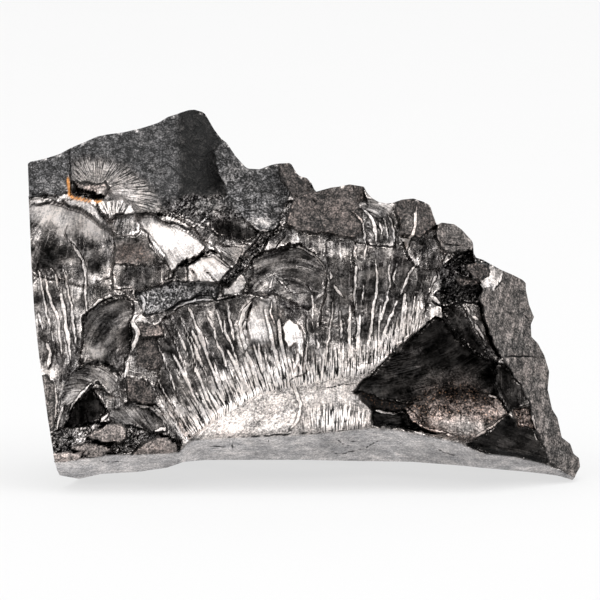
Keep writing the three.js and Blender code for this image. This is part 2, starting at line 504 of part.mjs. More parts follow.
function makeStone() {
  let stone = strikeFace(makeBlank());
  for (const ridge of [...RIDGES, ...fanRidges()]) {
    stone = stone.add(bar(ridge));
  }
  for (const crack of CRACKS) {
    stone = stone.subtract(bar(crack));
  }
  for (const face of undercutFaces()) {
    stone = stone.subtract(face);
  }
  return withoutCrumbs(stone);
}

// The one body that is the stone, without the crumbs that crossing cuts leave loose.
function withoutCrumbs(solid) {
  return solid.decompose().sort((a, b) => b.volume() - a.volume())[0];
}

const geometry = geometryOf(makeStone());
geometry.rotateX(-RECLINE);
geometry.computeBoundingBox();
const { min, max } = geometry.boundingBox;
geometry.translate(-(min.x + max.x) / 2, -(min.y + max.y) / 2, -min.z);

const stone = new THREE.Mesh(
  geometry,
  new THREE.MeshStandardMaterial({ color: 0x26262a, roughness: 0.3, metalness: 0.5 }),
);
stone.name = "shungite";

const part = new THREE.Group();
part.add(stone);

export default part;
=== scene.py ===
import math

import bpy
import numpy as np
from bpy.props import FloatProperty, FloatVectorProperty, IntProperty, PointerProperty
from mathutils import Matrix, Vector


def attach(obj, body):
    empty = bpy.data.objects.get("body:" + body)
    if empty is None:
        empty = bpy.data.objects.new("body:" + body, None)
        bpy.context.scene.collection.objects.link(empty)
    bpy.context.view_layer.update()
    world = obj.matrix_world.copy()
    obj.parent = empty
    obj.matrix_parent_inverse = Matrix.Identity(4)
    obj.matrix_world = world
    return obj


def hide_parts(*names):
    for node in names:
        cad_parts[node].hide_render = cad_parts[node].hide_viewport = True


bl_info = {
    "name": "Shungite Rock",
    "version": (1, 0, 0),
    "blender": (4, 5, 0),
    "location": "View3D > Sidebar > Shungite",
    "description": "Builds a broken piece of glossy shungite and the pale table that it lies on",
    "category": "Add Mesh",
}

# Everything about the stone is laid out in the frame of its show face, in millimetres: x runs to the
# right along the face, y runs into the stone, and z runs up the face. Outlines and routes are x, z.

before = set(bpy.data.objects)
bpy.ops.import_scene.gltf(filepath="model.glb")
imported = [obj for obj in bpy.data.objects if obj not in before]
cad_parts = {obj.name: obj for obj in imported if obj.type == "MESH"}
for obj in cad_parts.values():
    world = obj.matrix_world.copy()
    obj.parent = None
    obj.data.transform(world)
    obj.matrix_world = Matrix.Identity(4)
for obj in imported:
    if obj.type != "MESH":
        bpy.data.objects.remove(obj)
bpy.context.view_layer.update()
MM = 0.001  # a millimetre in metres

RECLINE = math.radians(8)  # how far the stone leans back on its bed
BED_RISE = -1.2  # height of the bed where the depth is nought
STONE_SHIFT = (-0.05, -12.435, 1.188)  # from the leaned-back face to the stone's own place on its bed

# The broad lie of the face. A lean is depth gained for each millimetre up, and a turn to the side.
FACE_LEAN = 0.17
FOOT_HEIGHT = 4  # where the face's depth is nought
SHOULDER_HEIGHT = 25  # where the roof begins
ROOF_LEAN = 0.55
RIGHT_CORNER = 16
RIGHT_TURN = 0.8
LEFT_CORNER = -20
LEFT_TURN = 0.2
UNDERCUT_SLOPE = 3.2  # depth gained for each millimetre down below the lip

EDGE_SOFTNESS = 0.07  # half width of the step between two flakes
THINNEST = 0.3  # least thickness of the stone's rim
LEAST_DEPTH = 2  # how far the back keeps behind the broad lie of the face
TOP_BITE = 0.35  # how deep the top wall is broken, against the walls at the sides
FINEST = 0.12  # half width of the finest ridge that the skin's grid can carry
LINES = ("ridge", "crack", "edge")  # how far inside a ridge, a crack or a flake's edge a point lies
NO_LINE = -0.5  # far from any line
WIDEST_LINE = 0.11  # half width of the widest bright line on a combed ridge
LIP_ROW = 0.09  # how far up the skin's grid the lip lies, from 0 to 1
FOOT_GUESSES = 12  # rounds in which the foot of the back settles on the bed
FAN_GUESSES = 8  # rounds in which a point of the fan finds its foot
EDGE_REACH = 0.9  # how far a flake's edge can stray from its outline
STROKE_REACH = 1.2  # how far from its route a ridge or a crack is looked for
DISH_RADIUS = 2.5  # radius of the round hollow in a dished flake, as a factor of its depth
PLAIN_RUN = 40  # how far above a plain flake its streaks would meet
WALL_CELL = 4.5  # size of the broken cells that share out the finishes of the walls
SHARP_ANGLE = math.radians(48)  # faces that meet at more than this show an edge
DISPLAY_GAMMA = 2.2  # from a tone as it is seen to the light that it sends back

# The skin's four sides: how each is cut from a grid, and how far it is broken inwards along x and z. The
# first is the underside, which keeps above the bed instead.
SIDES = [
    (np.s_[0, :], (0, 0)),
    (np.s_[:, -1], (-1, 0)),
    (np.s_[-1, ::-1], (0, -TOP_BITE)),
    (np.s_[::-1, 0], (1, 0)),
]

# The stone's outline, square on to the show face, side by side from corner to corner, and the lip over
# the undercut.
TOP_EDGE = [
    (-25.2, 28.8), (-25, 29), (-24.2, 29.15), (-23.4, 29.35), (-22.3, 29.7), (-21.4, 30.2), (-20, 30.8),
    (-18.9, 31.3), (-18, 31.5), (-16.5, 31.7), (-15, 32.05), (-14, 32.35), (-13.3, 32.6), (-12.4, 33.15),
    (-11.3, 33.5), (-10.5, 33.75), (-10, 33.8), (-9.3, 33.6), (-9, 33.4), (-8.6, 32.7), (-8.2, 32),
    (-7.6, 31.2), (-7, 30.7), (-6.2, 29.5), (-5.3, 28.5), (-5, 28.35), (-4, 28.3), (-3.1, 28.65),
    (-2.5, 28.8), (-1.3, 28.87), (-1.1, 28.75), (-0.6, 27.9), (-0.3, 27.65), (0.3, 27.5), (0.75, 27),
    (1.08, 26.2), (1.6, 26.35), (2.5, 26.6), (3.3, 26.7), (4.2, 26.9), (5.5, 26.7), (5.8, 26.1),
    (6.2, 25.7), (6.8, 25.3), (7.5, 25.15), (8.1, 25.2), (9, 25.5), (10, 25.6), (10.9, 25.3),
    (11.5, 25), (11.75, 24.2), (12.1, 23.2), (12.6, 23.4), (13.7, 23.25), (14.4, 22.75), (15.4, 21.65),
    (15.45, 20.9), (15.6, 20.25), (16.3, 20.05), (17.1, 19.6), (18, 19.1), (19, 18.7), (20, 18.2),
    (20.3, 17.9),
]
RIGHT_EDGE = [
    (24.6, -0.1), (25.3, 1.1), (25.2, 1.9), (24.7, 2.3), (24.4, 3.2), (23.6, 3.8), (23.2, 5.6),
    (22.7, 6.4), (22.3, 8.2), (22.45, 9.8), (22, 11.3), (21.4, 12.4), (20.8, 13), (20.75, 14.1),
    (21.05, 14.8), (20.6, 15.9), (20.3, 17.3), (20.3, 17.9),
]
BOTTOM_EDGE = [
    (-22.2, 0.4), (-20.5, 0.05), (-18.5, 0.5), (-15, 0.7), (-12.4, 1.1), (-11, 1.6), (-9, 1.75),
    (0, 1.75), (5, 1.6), (10, 1.55), (15, 1.2), (18, 0.9), (21, 0.6), (23.3, 0.3), (24.6, -0.1),
]
LEFT_EDGE = [
    (-22.2, 0.4), (-22.4, 0.9), (-22.6, 2), (-23.2, 5.5), (-23.6, 8.5), (-24, 11), (-24.5, 15.5),
    (-24.8, 20), (-25, 25), (-25.2, 28.8),
]
LIP = [
    (-24, 1.5), (-21.5, 1.7), (-17.5, 2.3), (-12.2, 2.45), (-11.2, 2.6), (-10.4, 3.4), (-9.6, 3.65),
    (-7, 3.85), (0, 4.1), (6, 4.7), (8.5, 4.5), (10, 4.2), (14, 3.4), (16, 2.5), (19.3, 2.1),
    (22, 1.4), (26, -0.4),
]

# The planes that close the stone behind: x, z, depth there, change to the right, change upwards. Then
# the finish of each.
BACK_PLANES = [
    (-10, 34.2, 10.8, 0.44, -0.9),
    (-10, 34.2, 10.8, -0.45, -0.9),
    (20.4, 18.3, 6.9, -1.5, -0.53),
    (-25.2, 28.8, 8.4, 3.5, 0.553),
    (0, 10, 23.5, 0.08, -0.28),
    (-20, 10, 19.5, 0.9, -0.25),
    (12, 8, 21, -0.8, -0.3),
    (0, 3, 24.8, -0.1, 0.9),
    (-2, 22, 17.4, -0.15, -0.62),
    (-15, 22, 16.4, 0.5, -0.42),
    (17, 3, 16.8, -0.9, 0.3),
    (-15, 3, 21, 0.6, 0.7),
]
BACK_FINISHES = ["slab", "mottled", "flank", "brown", "dark", "mottled", "satin", "pebble", "dark",
                 "slab", "brown", "flank"]

# Shell-like scars of the back: x, z, radius of the rim, depth of the hollow.
BACK_SCARS = [
    (-12, 26, 5.5, 0.8), (3, 20, 6.5, 1), (-4, 11, 7.5, 1.1), (12, 14, 5.5, 0.9), (-16, 12, 6, 1),
    (14, 5, 4.5, 0.7), (6, 5, 4, 0.6), (-22.5, 16, 6, 0.9), (-23, 23, 3.2, 0.5), (20.8, 11, 4, 0.6),
]
SCAR_FINISHES = ("dark", "satin")  # that the scars take by turns

# Finishes of the rim's walls: first the bed, then those that its broken cells take by turns.
WALL_FINISHES = ["flank", "slab", "mottled", "dark", "flank", "brown", "striated"]

# Large hollows that thin the top edge from behind: the middle of a ball and its radius.
TOP_HOLLOWS = [(3, 20, 37, 16.8), (15, 20, 30, 16.6), (-20, 24, 38, 16.2)]

# Finishes of the broken stone. Each value is 0 for none and about 1 for much.
FINISH_VALUES = ("gloss", "tone", "brown", "mottle", "streaks", "crumble", "comb")
FINISHES = {
    "slab": (0.05, 0.25, 0.06, 0.90, 0.05, 0.05, 0.00),
    "peak": (0.05, 0.09, 0.40, 1.50, 0.05, 0.15, 0.00),
    "mottled": (0.12, 0.30, 0.15, 1.10, 0.05, 0.25, 0.00),
    "brown": (0.08, 0.29, 0.80, 0.75, 0.15, 0.10, 0.00),
    "flank": (0.05, 0.37, 0.62, 0.62, 0.40, 0.05, 0.00),
    "black": (0.92, 0.18, 0.45, 0.20, 0.40, 0.10, 0.00),
    "dark": (0.88, 0.55, 0.42, 0.22, 0.36, 0.10, 0.05),
    "satin": (0.75, 0.60, 0.40, 0.20, 0.48, 0.10, 0.25),
    "striated": (0.15, 0.41, 0.45, 0.40, 0.20, 0.10, 0.70),
    # Bright and silver tones stand partly in for painted highlights where the glossy stone mirrors the
    # light.
    "bright": (0.36, 0.70, 0.40, 0.15, 0.08, 0.05, 0.15),
    "silver": (0.32, 0.88, 0.40, 0.12, 0.05, 0.05, 0.10),
    "frosted": (0.28, 0.77, 0.50, 0.35, 0.00, 0.10, 0.10),
    # Crest is the bright finish of the top edge's chips, partly a painted rim highlight.
    "crest": (0.35, 0.95, 0.40, 0.25, 0.05, 0.12, 0.00),
    "combed": (0.34, 0.62, 0.40, 0.15, 0.00, 0.05, 1.00),
    "hatched": (0.92, 0.24, 0.45, 0.20, 0.10, 0.05, 1.00),
    "pebble": (0.08, 0.45, 0.75, 0.50, 0.30, 0.05, 0.00),
    "smoky": (0.35, 0.36, 0.90, 0.40, 0.10, 0.00, 0.00),
    "bronze": (0.55, 0.46, 1.00, 0.75, 0.20, 0.20, 0.00),
    "crumbly": (0.80, 0.26, 0.35, 0.60, 0.20, 1.00, 0.00),
    # Undercut's pale tone is a painted reflection of the table.
    "undercut": (0.10, 0.72, 0.18, 0.20, 0.06, 0.00, 0.00),
}

# A flake without values of its own. "tone" is a factor of the finish's tone, and "shade" is how much it
# gains for each millimetre to the right and up: painted light and shade across the flake. "soft" is the
# half width of the step at the edge, and "hollow" how deep the flake is dished. "rays" are ridges that
# spread from a point x, z at a pitch and height, "rings" are ripples round it, and "fineness" is a factor
# of how closely the rays stand. "glow" holds soft patches of other finishes, silver and bright ones
# painted highlights and dark and black ones painted shade: x, z, half width, half height, strength,
# finish.
PLAIN_FLAKE = dict(tone=1, shade=(0, 0), soft=EDGE_SOFTNESS, hollow=0, rays=None, rings=None, fineness=1,
                   glow=())

# Flakes of the show face by name, in the order they were struck. "sink" is how far the middle of the
# outline lies under the broad lie of the face; "turn" and "lean" are the slopes of its own plane, to the
# right and up.
FLAKES = {
    # The roof.
    "roof slab": dict(finish="slab", shade=(-0.015, 0), sink=0, lean=0.75, turn=0.05, edge=[(-26, 29.5),
         (-21.3, 31), (-18, 32.5), (-13, 34), (-10, 35), (-7.2, 32), (-7.2, 26.2), (-8.5, 24.6),
         (-12.5, 24.6), (-14, 25.5), (-17.7, 26.4), (-21.3, 26.2), (-26, 25.6)]),
    "roof corner block": dict(finish="slab", tone=1.15, sink=0.2, lean=0.6, turn=-0.25, edge=[(-26, 30),
         (-21.3, 31), (-21.3, 26.1), (-26, 25.8)]),
    "peak band": dict(finish="peak", soft=0.5, sink=0.4, lean=0.5, turn=0.35, edge=[(-11.4, 35),
         (-8.3, 35), (-6.8, 31), (-7.1, 26), (-11.2, 25.6)]),
    "upper facet": dict(finish="mottled", shade=(0, -0.05), sink=0.7, lean=0.5, turn=0.2,
         edge=[(-8.4, 29.9), (-6.7, 31.5), (-5, 29.5), (-2.4, 29.8), (-1.3, 26), (-2, 24.3), (-2, 22.9),
         (-3.8, 22.6), (-5.5, 23.9), (-8.1, 24.2), (-6.8, 26), (-7.8, 28)]),
    "brown prism": dict(finish="brown", tone=0.9, sink=0.5, lean=0.4, turn=0.4, edge=[(-2.5, 29.8),
         (-0.6, 29.8), (0.5, 28), (1.4, 26.2), (-0.6, 25.5), (-1, 25.7), (-2, 27.4)]),
    "dark lens above the shells": dict(finish="black", tone=1.5, sink=0.9, lean=0.1, turn=0,
         edge=[(-8.6, 23.9), (-5.6, 23.8), (-4, 22.5), (-4.8, 21.8), (-6.5, 21.9), (-8.6, 22.5)]),
    "valley wedge": dict(finish="satin", tone=1.2, sink=0.2, lean=-0.1, turn=-0.3, edge=[(-8.5, 21.6),
         (-4.3, 21.2), (-5.2, 20.5), (-6.5, 19)], rays=(-12, 24, 0.5, 0.06)),
    "brown shelf": dict(finish="brown", sink=-0.2, lean=0.4, turn=0.05, edge=[(-1.7, 24.4), (-1, 25.4),
         (1, 26.6), (4.2, 28), (5.3, 24.3), (5.3, 22.8), (4.5, 21.9), (2.2, 22.4), (-0.4, 22.6),
         (-1.8, 23.4)]),
    "shelf chip": dict(finish="brown", sink=0.5, lean=0.3, turn=0.7, edge=[(4.1, 28), (5.8, 28),
         (6.6, 25.5), (5, 25.2)]),
    "crumbly ground": dict(finish="crumbly", tone=1.1, soft=0.4, sink=0.8, lean=0.5, turn=0.1,
         edge=[(-13, 24.3), (-12.6, 25.3), (-10.5, 26), (-7.6, 26), (-6.4, 24.9), (-5.6, 23.8),
         (-8.3, 23.6), (-10.5, 23.5), (-12, 24)]),

    # The left end below the roof.
    # The left scoop: its top band a painted reflection, brighter upwards, its black glows painted shade.
    "left scoop": dict(finish="dark", tone=1.15, shade=(0.02, 0.04), hollow=0.8, sink=0.8, lean=0.05,
         turn=0, edge=[(-26, 25.1), (-22.9, 25.2), (-21.1, 24.85), (-20, 24.3), (-18.4, 23.1),
         (-17.2, 22.3), (-17, 21), (-17.5, 18.5), (-19.8, 17.5), (-26, 19)], rays=(-20, 30, 0.6, 0.05),
         glow=[(-24, 24.3, 2.8, 1.1, 1, "silver"), (-21.3, 23.8, 2.4, 1.1, 1, "silver"),
         (-18.9, 22.8, 1.8, 0.8, 1, "silver"), (-21.5, 22.3, 0.9, 1.1, 0.7, "bright"),
         (-24.3, 22.6, 1.4, 0.9, 0.4, "satin"), (-23, 20.4, 2.2, 1.2, 0.8, "black"),
         (-19, 20, 1.6, 1.3, 0.6, "black")]),
    "upper ledge": dict(finish="silver", tone=0.82, sink=-0.6, lean=0.7, turn=0, edge=[(-26, 25.5),
         (-24.1, 25.75), (-23, 25.6), (-22.5, 25.45), (-23, 25.3), (-26, 25.1)]),
    "white wedge": dict(finish="silver", tone=0.76, sink=-0.5, lean=0.7, turn=0, edge=[(-22.2, 25.5),
         (-20.6, 25.55), (-19.3, 25.2), (-18.7, 24.4), (-18, 23.4), (-17.4, 22.6), (-18.7, 23.6),
         (-20.2, 24.7), (-21.6, 25.2)]),
    "striated scar": dict(finish="striated", tone=0.97, soft=0.45, hollow=0.3, sink=0.6, lean=0.5,
         turn=-0.1, edge=[(-21.2, 27.3), (-21.15, 29), (-20, 29.45), (-18, 29.35), (-16, 28.6),
         (-14.3, 27.2), (-13.2, 25.9), (-12.7, 24.6), (-14.5, 24.2), (-16, 25.3), (-17.7, 26)],
         rays=(-18.9, 26.2, 0.24, 0.04), fineness=1.9, glow=[(-15.4, 26.3, 1.2, 1.6, 0.5, "striated"),
         (-19.5, 28.5, 1.5, 0.5, 0.3, "satin")]),
    # The pit's black is painted shade in its recess.
    "pit": dict(finish="black", tone=1.4, sink=0.9, lean=0.1, turn=-0.2, edge=[(-21.3, 27.25),
         (-20.7, 27.3), (-18.5, 26.85), (-18.2, 27.25), (-17.65, 26.55), (-17.8, 26.2), (-18.35, 25.6),
         (-19, 25.6), (-21.25, 25.97)]),
    "pit block": dict(finish="brown", tone=1.6, sink=0.4, lean=0.5, turn=-0.3, edge=[(-20.9, 27.15),
         (-18.6, 26.8), (-18.25, 27.15), (-17.72, 26.55), (-18.1, 25.8), (-18.9, 25.85),
         (-20.2, 26.35)], glow=[(-18.3, 26.2, 0.5, 0.4, 0.8, "silver")]),
    "small fan": dict(finish="striated", tone=1.38, sink=-0.1, lean=0.7, turn=0.1, edge=[(-18.8, 25.3),
         (-17.9, 25.5), (-16.5, 25.6), (-15.7, 24.9), (-15.3, 24.35), (-17, 24.1), (-17.8, 23.8),
         (-18.35, 24.35)], rays=(-17.3, 22.9, 0.4, 0.08)),
    "rayed lens": dict(finish="satin", tone=1.4, sink=0.5, lean=0.2, turn=-0.2, edge=[(-18, 23.5),
         (-17, 24.05), (-15.3, 24.2), (-14.6, 23.4), (-14.9, 22.5), (-15.8, 22.2), (-17, 22.2),
         (-17.65, 22.9)], rays=(-15.6, 28, 0.3, 0.08)),
    "brown patch": dict(finish="smoky", tone=1.15, soft=0.7, sink=0.3, lean=0.2, turn=-0.2,
         edge=[(-16.8, 21.3), (-14.6, 21.6), (-13.5, 20.1), (-14.6, 19.5), (-17.3, 19.6)]),
    "under the patch": dict(finish="dark", sink=0.6, lean=0.1, turn=0, edge=[(-17.3, 19.6),
         (-14.6, 19.5), (-12.4, 19.6), (-11.6, 18.6), (-14.5, 17.2), (-17.5, 17.4)]),

    # The bright shells and the valley beside them.
    "first shell": dict(finish="bright", hollow=0.5, sink=-0.6, lean=0.55, turn=-0.3,
         edge=[(-15.4, 24.2), (-13.6, 24.05), (-12.2, 23.35), (-11.3, 23.1), (-10.3, 22.5),
         (-8.9, 21.1), (-9.5, 20.5), (-10.5, 20.1), (-12, 18.9), (-12.6, 19.7), (-14.2, 22)],
         rays=(-15.5, 26.5, 0.7, 0.03), glow=[(-11, 21.6, 1.9, 1.3, 1, "silver"),
         (-13.4, 22.8, 1.1, 0.8, 0.6, "silver"), (-12.2, 20.1, 0.6, 0.9, 0.5, "dark"),
         (-9.6, 21, 0.8, 0.5, 0.9, "silver")]),
    "second shell": dict(finish="bright", soft=0.1, hollow=0.4, sink=-0.5, lean=0.5, turn=0.2,
         edge=[(-10.6, 19.5), (-9.4, 20.3), (-8.3, 20.5), (-7.1, 19.7), (-6.4, 19), (-7.8, 18),
         (-10.5, 17.9)], rays=(-13, 24, 0.7, 0.1), glow=[(-8.6, 19.3, 1.7, 1, 1, "silver"),
         (-10.1, 18.5, 0.4, 0.6, 0.4, "dark")]),
    "small lobe": dict(finish="bright", tone=0.85, sink=-0.6, lean=0.5, turn=-0.1, edge=[(-7.4, 16.9),
         (-7.2, 17.9), (-6.4, 18.55), (-5.5, 18.7), (-5.1, 18), (-5.9, 16.8)], rays=(-8, 20, 0.5, 0.1)),
    "fibrous strip": dict(finish="satin", sink=0.3, lean=0.3, turn=0.1, edge=[(-13.7, 24.4),
         (-11.8, 24.1), (-9.2, 23.4), (-7.6, 22), (-8.3, 21), (-10.3, 22.8), (-12.2, 23.5)],
         rays=(-2, 34, 0.5, 0.1)),
    "valley": dict(finish="crumbly", tone=1.7, sink=1.1, lean=0.1, turn=0, edge=[(-7.9, 17.7),
         (-6.2, 19.4), (-5.1, 20.9), (-3.8, 22.3), (-2.5, 23), (-1.7, 25.4), (-1, 25.3), (-1.9, 22.7),
         (-3.2, 21.7), (-4, 20.3), (-5.4, 19), (-6.9, 17.6)]),

    # The middle of the face.
    "arc scar": dict(finish="dark", tone=0.85, hollow=0.9, sink=0.7, lean=0.1, turn=-0.05,
         edge=[(-4.6, 20.2), (-2.5, 21), (-0.5, 21.5), (1, 20.7), (1.8, 19.7), (2.1, 18.3), (2, 17),
         (0.5, 15.5), (-2.5, 16.8), (-5, 17.2)], rings=(-1.3, 15, 0.7, 0.07)),
    "dark strip": dict(finish="dark", tone=0.9, sink=0.7, lean=0, turn=0.1, edge=[(2.1, 21.5),
         (4.5, 21.8), (4.6, 15.5), (3, 13.9), (1.5, 14.2), (2, 17.2)], rays=(3, 60, 0.5, 0.06)),
    "ringed facet": dict(finish="satin", tone=0.75, sink=0.2, lean=0.35, turn=0, edge=[(5.6, 26.5),
         (8.1, 27), (8.6, 22.3), (8, 21.2), (6, 21), (5.7, 23.3)], rings=(5.2, 21.4, 0.45, 0.07)),
    "ridged face": dict(finish="dark", tone=0.76, sink=0, lean=0.1, turn=0.05, edge=[(4.6, 21.5),
         (8, 21.2), (9.4, 21.6), (10.2, 19.4), (12.3, 19), (11.3, 16.7), (10.8, 13.9), (7, 10.9),
         (4.8, 10.4), (4.6, 15.5)], rays=(2, -30, 0.6, 0.12)),
    "round knob": dict(finish="brown", tone=0.9, sink=-0.8, lean=0.4, turn=0.15, edge=[(8.1, 27),
         (11.6, 27), (12.2, 23.3), (10.5, 22), (8.8, 22.3)]),
    "knob shadow": dict(finish="dark", tone=1.25, sink=0.8, lean=0.1, turn=0.2, edge=[(10.5, 22),
         (12.1, 22), (12.4, 21), (13, 20.7), (12.3, 19), (10, 19.4), (9, 21.5)]),
    "lens knob": dict(finish="flank", sink=-1, lean=0.35, turn=0.3, edge=[(12.1, 24.5), (14.5, 24),
         (16.5, 21.9), (15.4, 21), (14.6, 20.8), (13.4, 20.6), (12.5, 21), (12.1, 22)]),
    "rough cluster": dict(finish="crumbly", sink=0.9, lean=0.4, turn=0.2, edge=[(12.3, 19),
         (14.3, 20.7), (15.5, 21), (17.4, 20.2), (16.2, 18.3), (14.2, 18.4), (12.5, 17)]),
    "cluster foot": dict(finish="crumbly", tone=0.7, sink=0.5, lean=0, turn=0.3, edge=[(12, 17),
         (14.2, 18.4), (15.7, 17.9), (16.2, 17.2), (16.1, 16), (14.3, 16.1), (12.5, 15.7),
         (11.6, 16.2)]),
    "cluster face": dict(finish="brown", sink=0.5, lean=0.3, turn=0.3, edge=[(14.7, 19.6), (15.7, 20),
         (16.8, 19.6), (16.9, 18.6), (16.2, 18.2), (15.4, 18.2)]),
    "cluster foot face": dict(finish="brown", tone=1.3, sink=0.6, lean=-0.1, turn=0.3, edge=[(14, 18.4),
         (15.3, 18.2), (16.2, 18), (15.4, 17.7), (14, 17.7)]),

    # The right end.
    "right flank": dict(finish="flank", shade=(-0.01, 0), sink=0.4, lean=0.2, turn=1, edge=[(16, 16.4),
         (16.4, 17.3), (17, 17.4), (17.25, 17.1), (18, 18), (18.6, 21), (21.5, 19.5), (22.5, 14.7),
         (24, 9.6), (24.5, 6), (27, 1.4), (26, -2), (23.5, 0.8), (22.4, 1.5), (21.8, 3.5), (21.2, 4.7),
         (20.6, 6.5), (19.8, 8.5), (18.9, 9.8), (18.3, 10.9), (17.7, 11.5), (16.9, 13), (16.3, 15),
         (16, 15.5)], rays=(30, 60, 0.8, 0.05)),
    "dark triangle": dict(finish="black", tone=0.8, hollow=1.5, sink=1.6, lean=0.12, turn=0.12,
         edge=[(12, 14.8), (12.7, 14.7), (13.5, 13.5), (14.4, 12.4), (16, 11.2), (17.3, 10.7),
         (17.5, 8), (18.7, 6), (17, 4.7), (15, 3.6), (10, 4.6), (6.2, 5.2), (6.2, 6.5), (4.3, 8.1),
         (8.7, 12)], rings=(5, 26, 0.7, 0.02), glow=[(8.6, 10.4, 2.4, 1.5, 0.5, "hatched"),
         (13.2, 8.6, 3.2, 1.6, 0.35, "bronze")]),
    # The triangle floor grows brighter downwards: painted light where it faces up.
    "triangle floor": dict(finish="bronze", tone=0.95, shade=(0.02, -0.26), soft=1.2, sink=2, lean=0.6,
         turn=0.05, edge=[(9.2, 6.6), (10.5, 7.5), (13, 8.3), (15.5, 8.2), (17.5, 7.6), (18.2, 6.9),
         (18.5, 5.9), (17.1, 4.8), (15.3, 3.75), (14.4, 3.8), (12.3, 4.2), (10.5, 5.2)],
         glow=[(15.4, 4.7, 2.1, 0.7, 0.5, "bright"), (12.4, 5, 1.2, 0.5, 0.3, "bright")]),
    "brown blade": dict(finish="smoky", tone=0.28, sink=1.2, lean=0.1, turn=0, edge=[(4.4, 8.1),
         (5.6, 7.9), (7.4, 7.2), (9.6, 6.8), (9.2, 6.3), (6.8, 6.5), (5.2, 7.2)]),
    "left brown chip": dict(finish="bronze", tone=1.2, sink=0.9, lean=0.2, turn=-0.2, edge=[(9.1, 6.6),
         (10, 6.2), (10.9, 5.1), (12.4, 4.2), (10.9, 4.6), (9.6, 5.5)]),
    "inner sliver": dict(finish="black", sink=0.4, lean=0.1, turn=-0.3, edge=[(12.5, 15.7), (14.3, 16),
         (15.8, 13), (17.5, 10.8), (16.5, 11), (15, 12), (13.5, 13.7), (12.8, 14.8)],
         rays=(-60, 110, 0.5, 0.06)),
    "outer sliver": dict(finish="dark", sink=0.9, lean=0, turn=0.2, edge=[(14.3, 16), (16.1, 16),
         (16.8, 13.5), (18, 11.1), (17.5, 10.8), (15.8, 13)]),
    "lower right facet": dict(finish="black", tone=0.8, sink=0.6, lean=-0.1, turn=0.6,
         edge=[(14.6, 3.3), (18.7, 5.7), (21.1, 4.5), (22.5, 1.8), (22.2, 1.4), (17.4, 2.1)],
         rays=(35, -2, 0.6, 0.04)),
    "lower right chip": dict(finish="bronze", sink=0.8, lean=0.2, turn=0.4, edge=[(19, 6.4),
         (20.6, 6.4), (21.1, 4.6), (19.5, 4.9)]),
    "right gully": dict(finish="black", tone=1.3, sink=1, lean=0.1, turn=0.3, edge=[(17.3, 10.9),
         (18.6, 10.2), (19.8, 8.5), (20.6, 6.6), (19.2, 6.4), (18.6, 6.2), (17.6, 7.9)]),

    # The foot of the face and the hackle face above it.
    "hackle face": dict(finish="dark", sink=0.3, lean=0.1, turn=-0.1, edge=[(-13.5, 13), (-12.6, 14.6),
         (-11, 15.9), (-8, 16.3), (-5, 17), (-3, 16.5), (-1.3, 14.8), (0, 13.3), (0.5, 10), (-1.5, 8.8),
         (-5, 7), (-8.5, 5), (-10.5, 3.9), (-12, 6), (-13.4, 8.2), (-13, 10.5)]),
    "left silver band": dict(finish="frosted", soft=0.35, sink=-0.3, lean=0.4, turn=0, edge=[(-11, 3),
         (-9.4, 4.5), (-6.9, 6.6), (-3.8, 8), (-1.4, 8.8), (-0.4, 7.6), (0, 6.6), (-0.5, 3), (-3, 3)],
         rays=(-12, 0, 0.6, 0.02)),
    "right silver band": dict(finish="frosted", tone=0.8, soft=0.35, shade=(-0.03, 0), sink=-0.1,
         lean=0.3, turn=0, edge=[(0, 6.6), (-0.6, 8.8), (0.2, 8.8), (2.2, 9.2), (5.3, 9.8), (5.9, 9.6),
         (4.35, 8.1), (5.3, 7.1), (6.1, 6.5), (6.2, 5.2), (5.8, 3), (-0.5, 3)],
         rays=(3, -20, 0.4, 0.03), glow=[(3.2, 5.6, 2.7, 1.2, 1, "combed"),
         (3, 7.6, 2.5, 0.7, 0.6, "silver")]),
    "leaf knob": dict(finish="silver", tone=1.2, sink=-0.9, lean=0.3, turn=-0.3, edge=[(-1.3, 14.7),
         (-0.6, 14.1), (-0.2, 13.6), (0.1, 12.9), (-0.1, 11.3), (-0.8, 9.9), (-1.05, 10.4),
         (-0.6, 11.6), (-0.85, 12.4), (-1.4, 11.9), (-2, 13.8)], rays=(0, 18, 0.4, 0.06)),
    "bulge": dict(finish="bright", tone=0.85, soft=0.4, sink=-0.6, lean=0.3, turn=0.1,
         edge=[(-4.9, 12.3), (-5.1, 14.5), (-4, 16.4), (-2.6, 16.2), (-2.1, 14.4), (-2.7, 12.5),
         (-3.9, 12)]),

    # The lower left.
    "dark lens": dict(finish="dark", tone=0.7, shade=(-0.06, 0), hollow=0.8, sink=0.7, lean=-0.1,
         turn=-0.1, edge=[(-20.3, 10.5), (-20.2, 12.6), (-20, 14.95), (-19.3, 15.7), (-17.65, 16.6),
         (-16.5, 16.8), (-15.5, 16.2), (-15.6, 12.4), (-16.4, 9.8), (-18.35, 10.5), (-19.5, 10.8)],
         rings=(-15, 11, 0.7, 0.03)),
    "mid shelf": dict(finish="mottled", tone=1.55, sink=0.6, lean=0.2, turn=0, edge=[(-15.3, 16.8),
         (-12, 18), (-10.5, 18), (-7.8, 17.8), (-8, 16.5), (-11, 15.9), (-14.3, 14.9)]),
    "shell scar": dict(finish="satin", tone=0.6, hollow=0.4, sink=0.1, lean=0.4, turn=-0.1,
         edge=[(-20.7, 10.1), (-19.5, 10.6), (-18.35, 10.55), (-17.4, 10.1), (-16.7, 9.4),
         (-16.95, 8.2), (-17.65, 7.65), (-18.8, 8.9), (-20.8, 7.05), (-21.9, 6.1), (-22.2, 7.3),
         (-21.8, 8.7)], rings=(-20.5, 6, 0.6, 0.08)),
    # The black notch's black is painted shade in a hollow.
    "black notch": dict(finish="black", sink=1.3, lean=0, turn=0, edge=[(-20.8, 6.9), (-19.2, 8.3),
         (-18.35, 7.3), (-17.8, 6.5), (-18.6, 5.1), (-21.1, 4.7), (-21.7, 4.8)]),
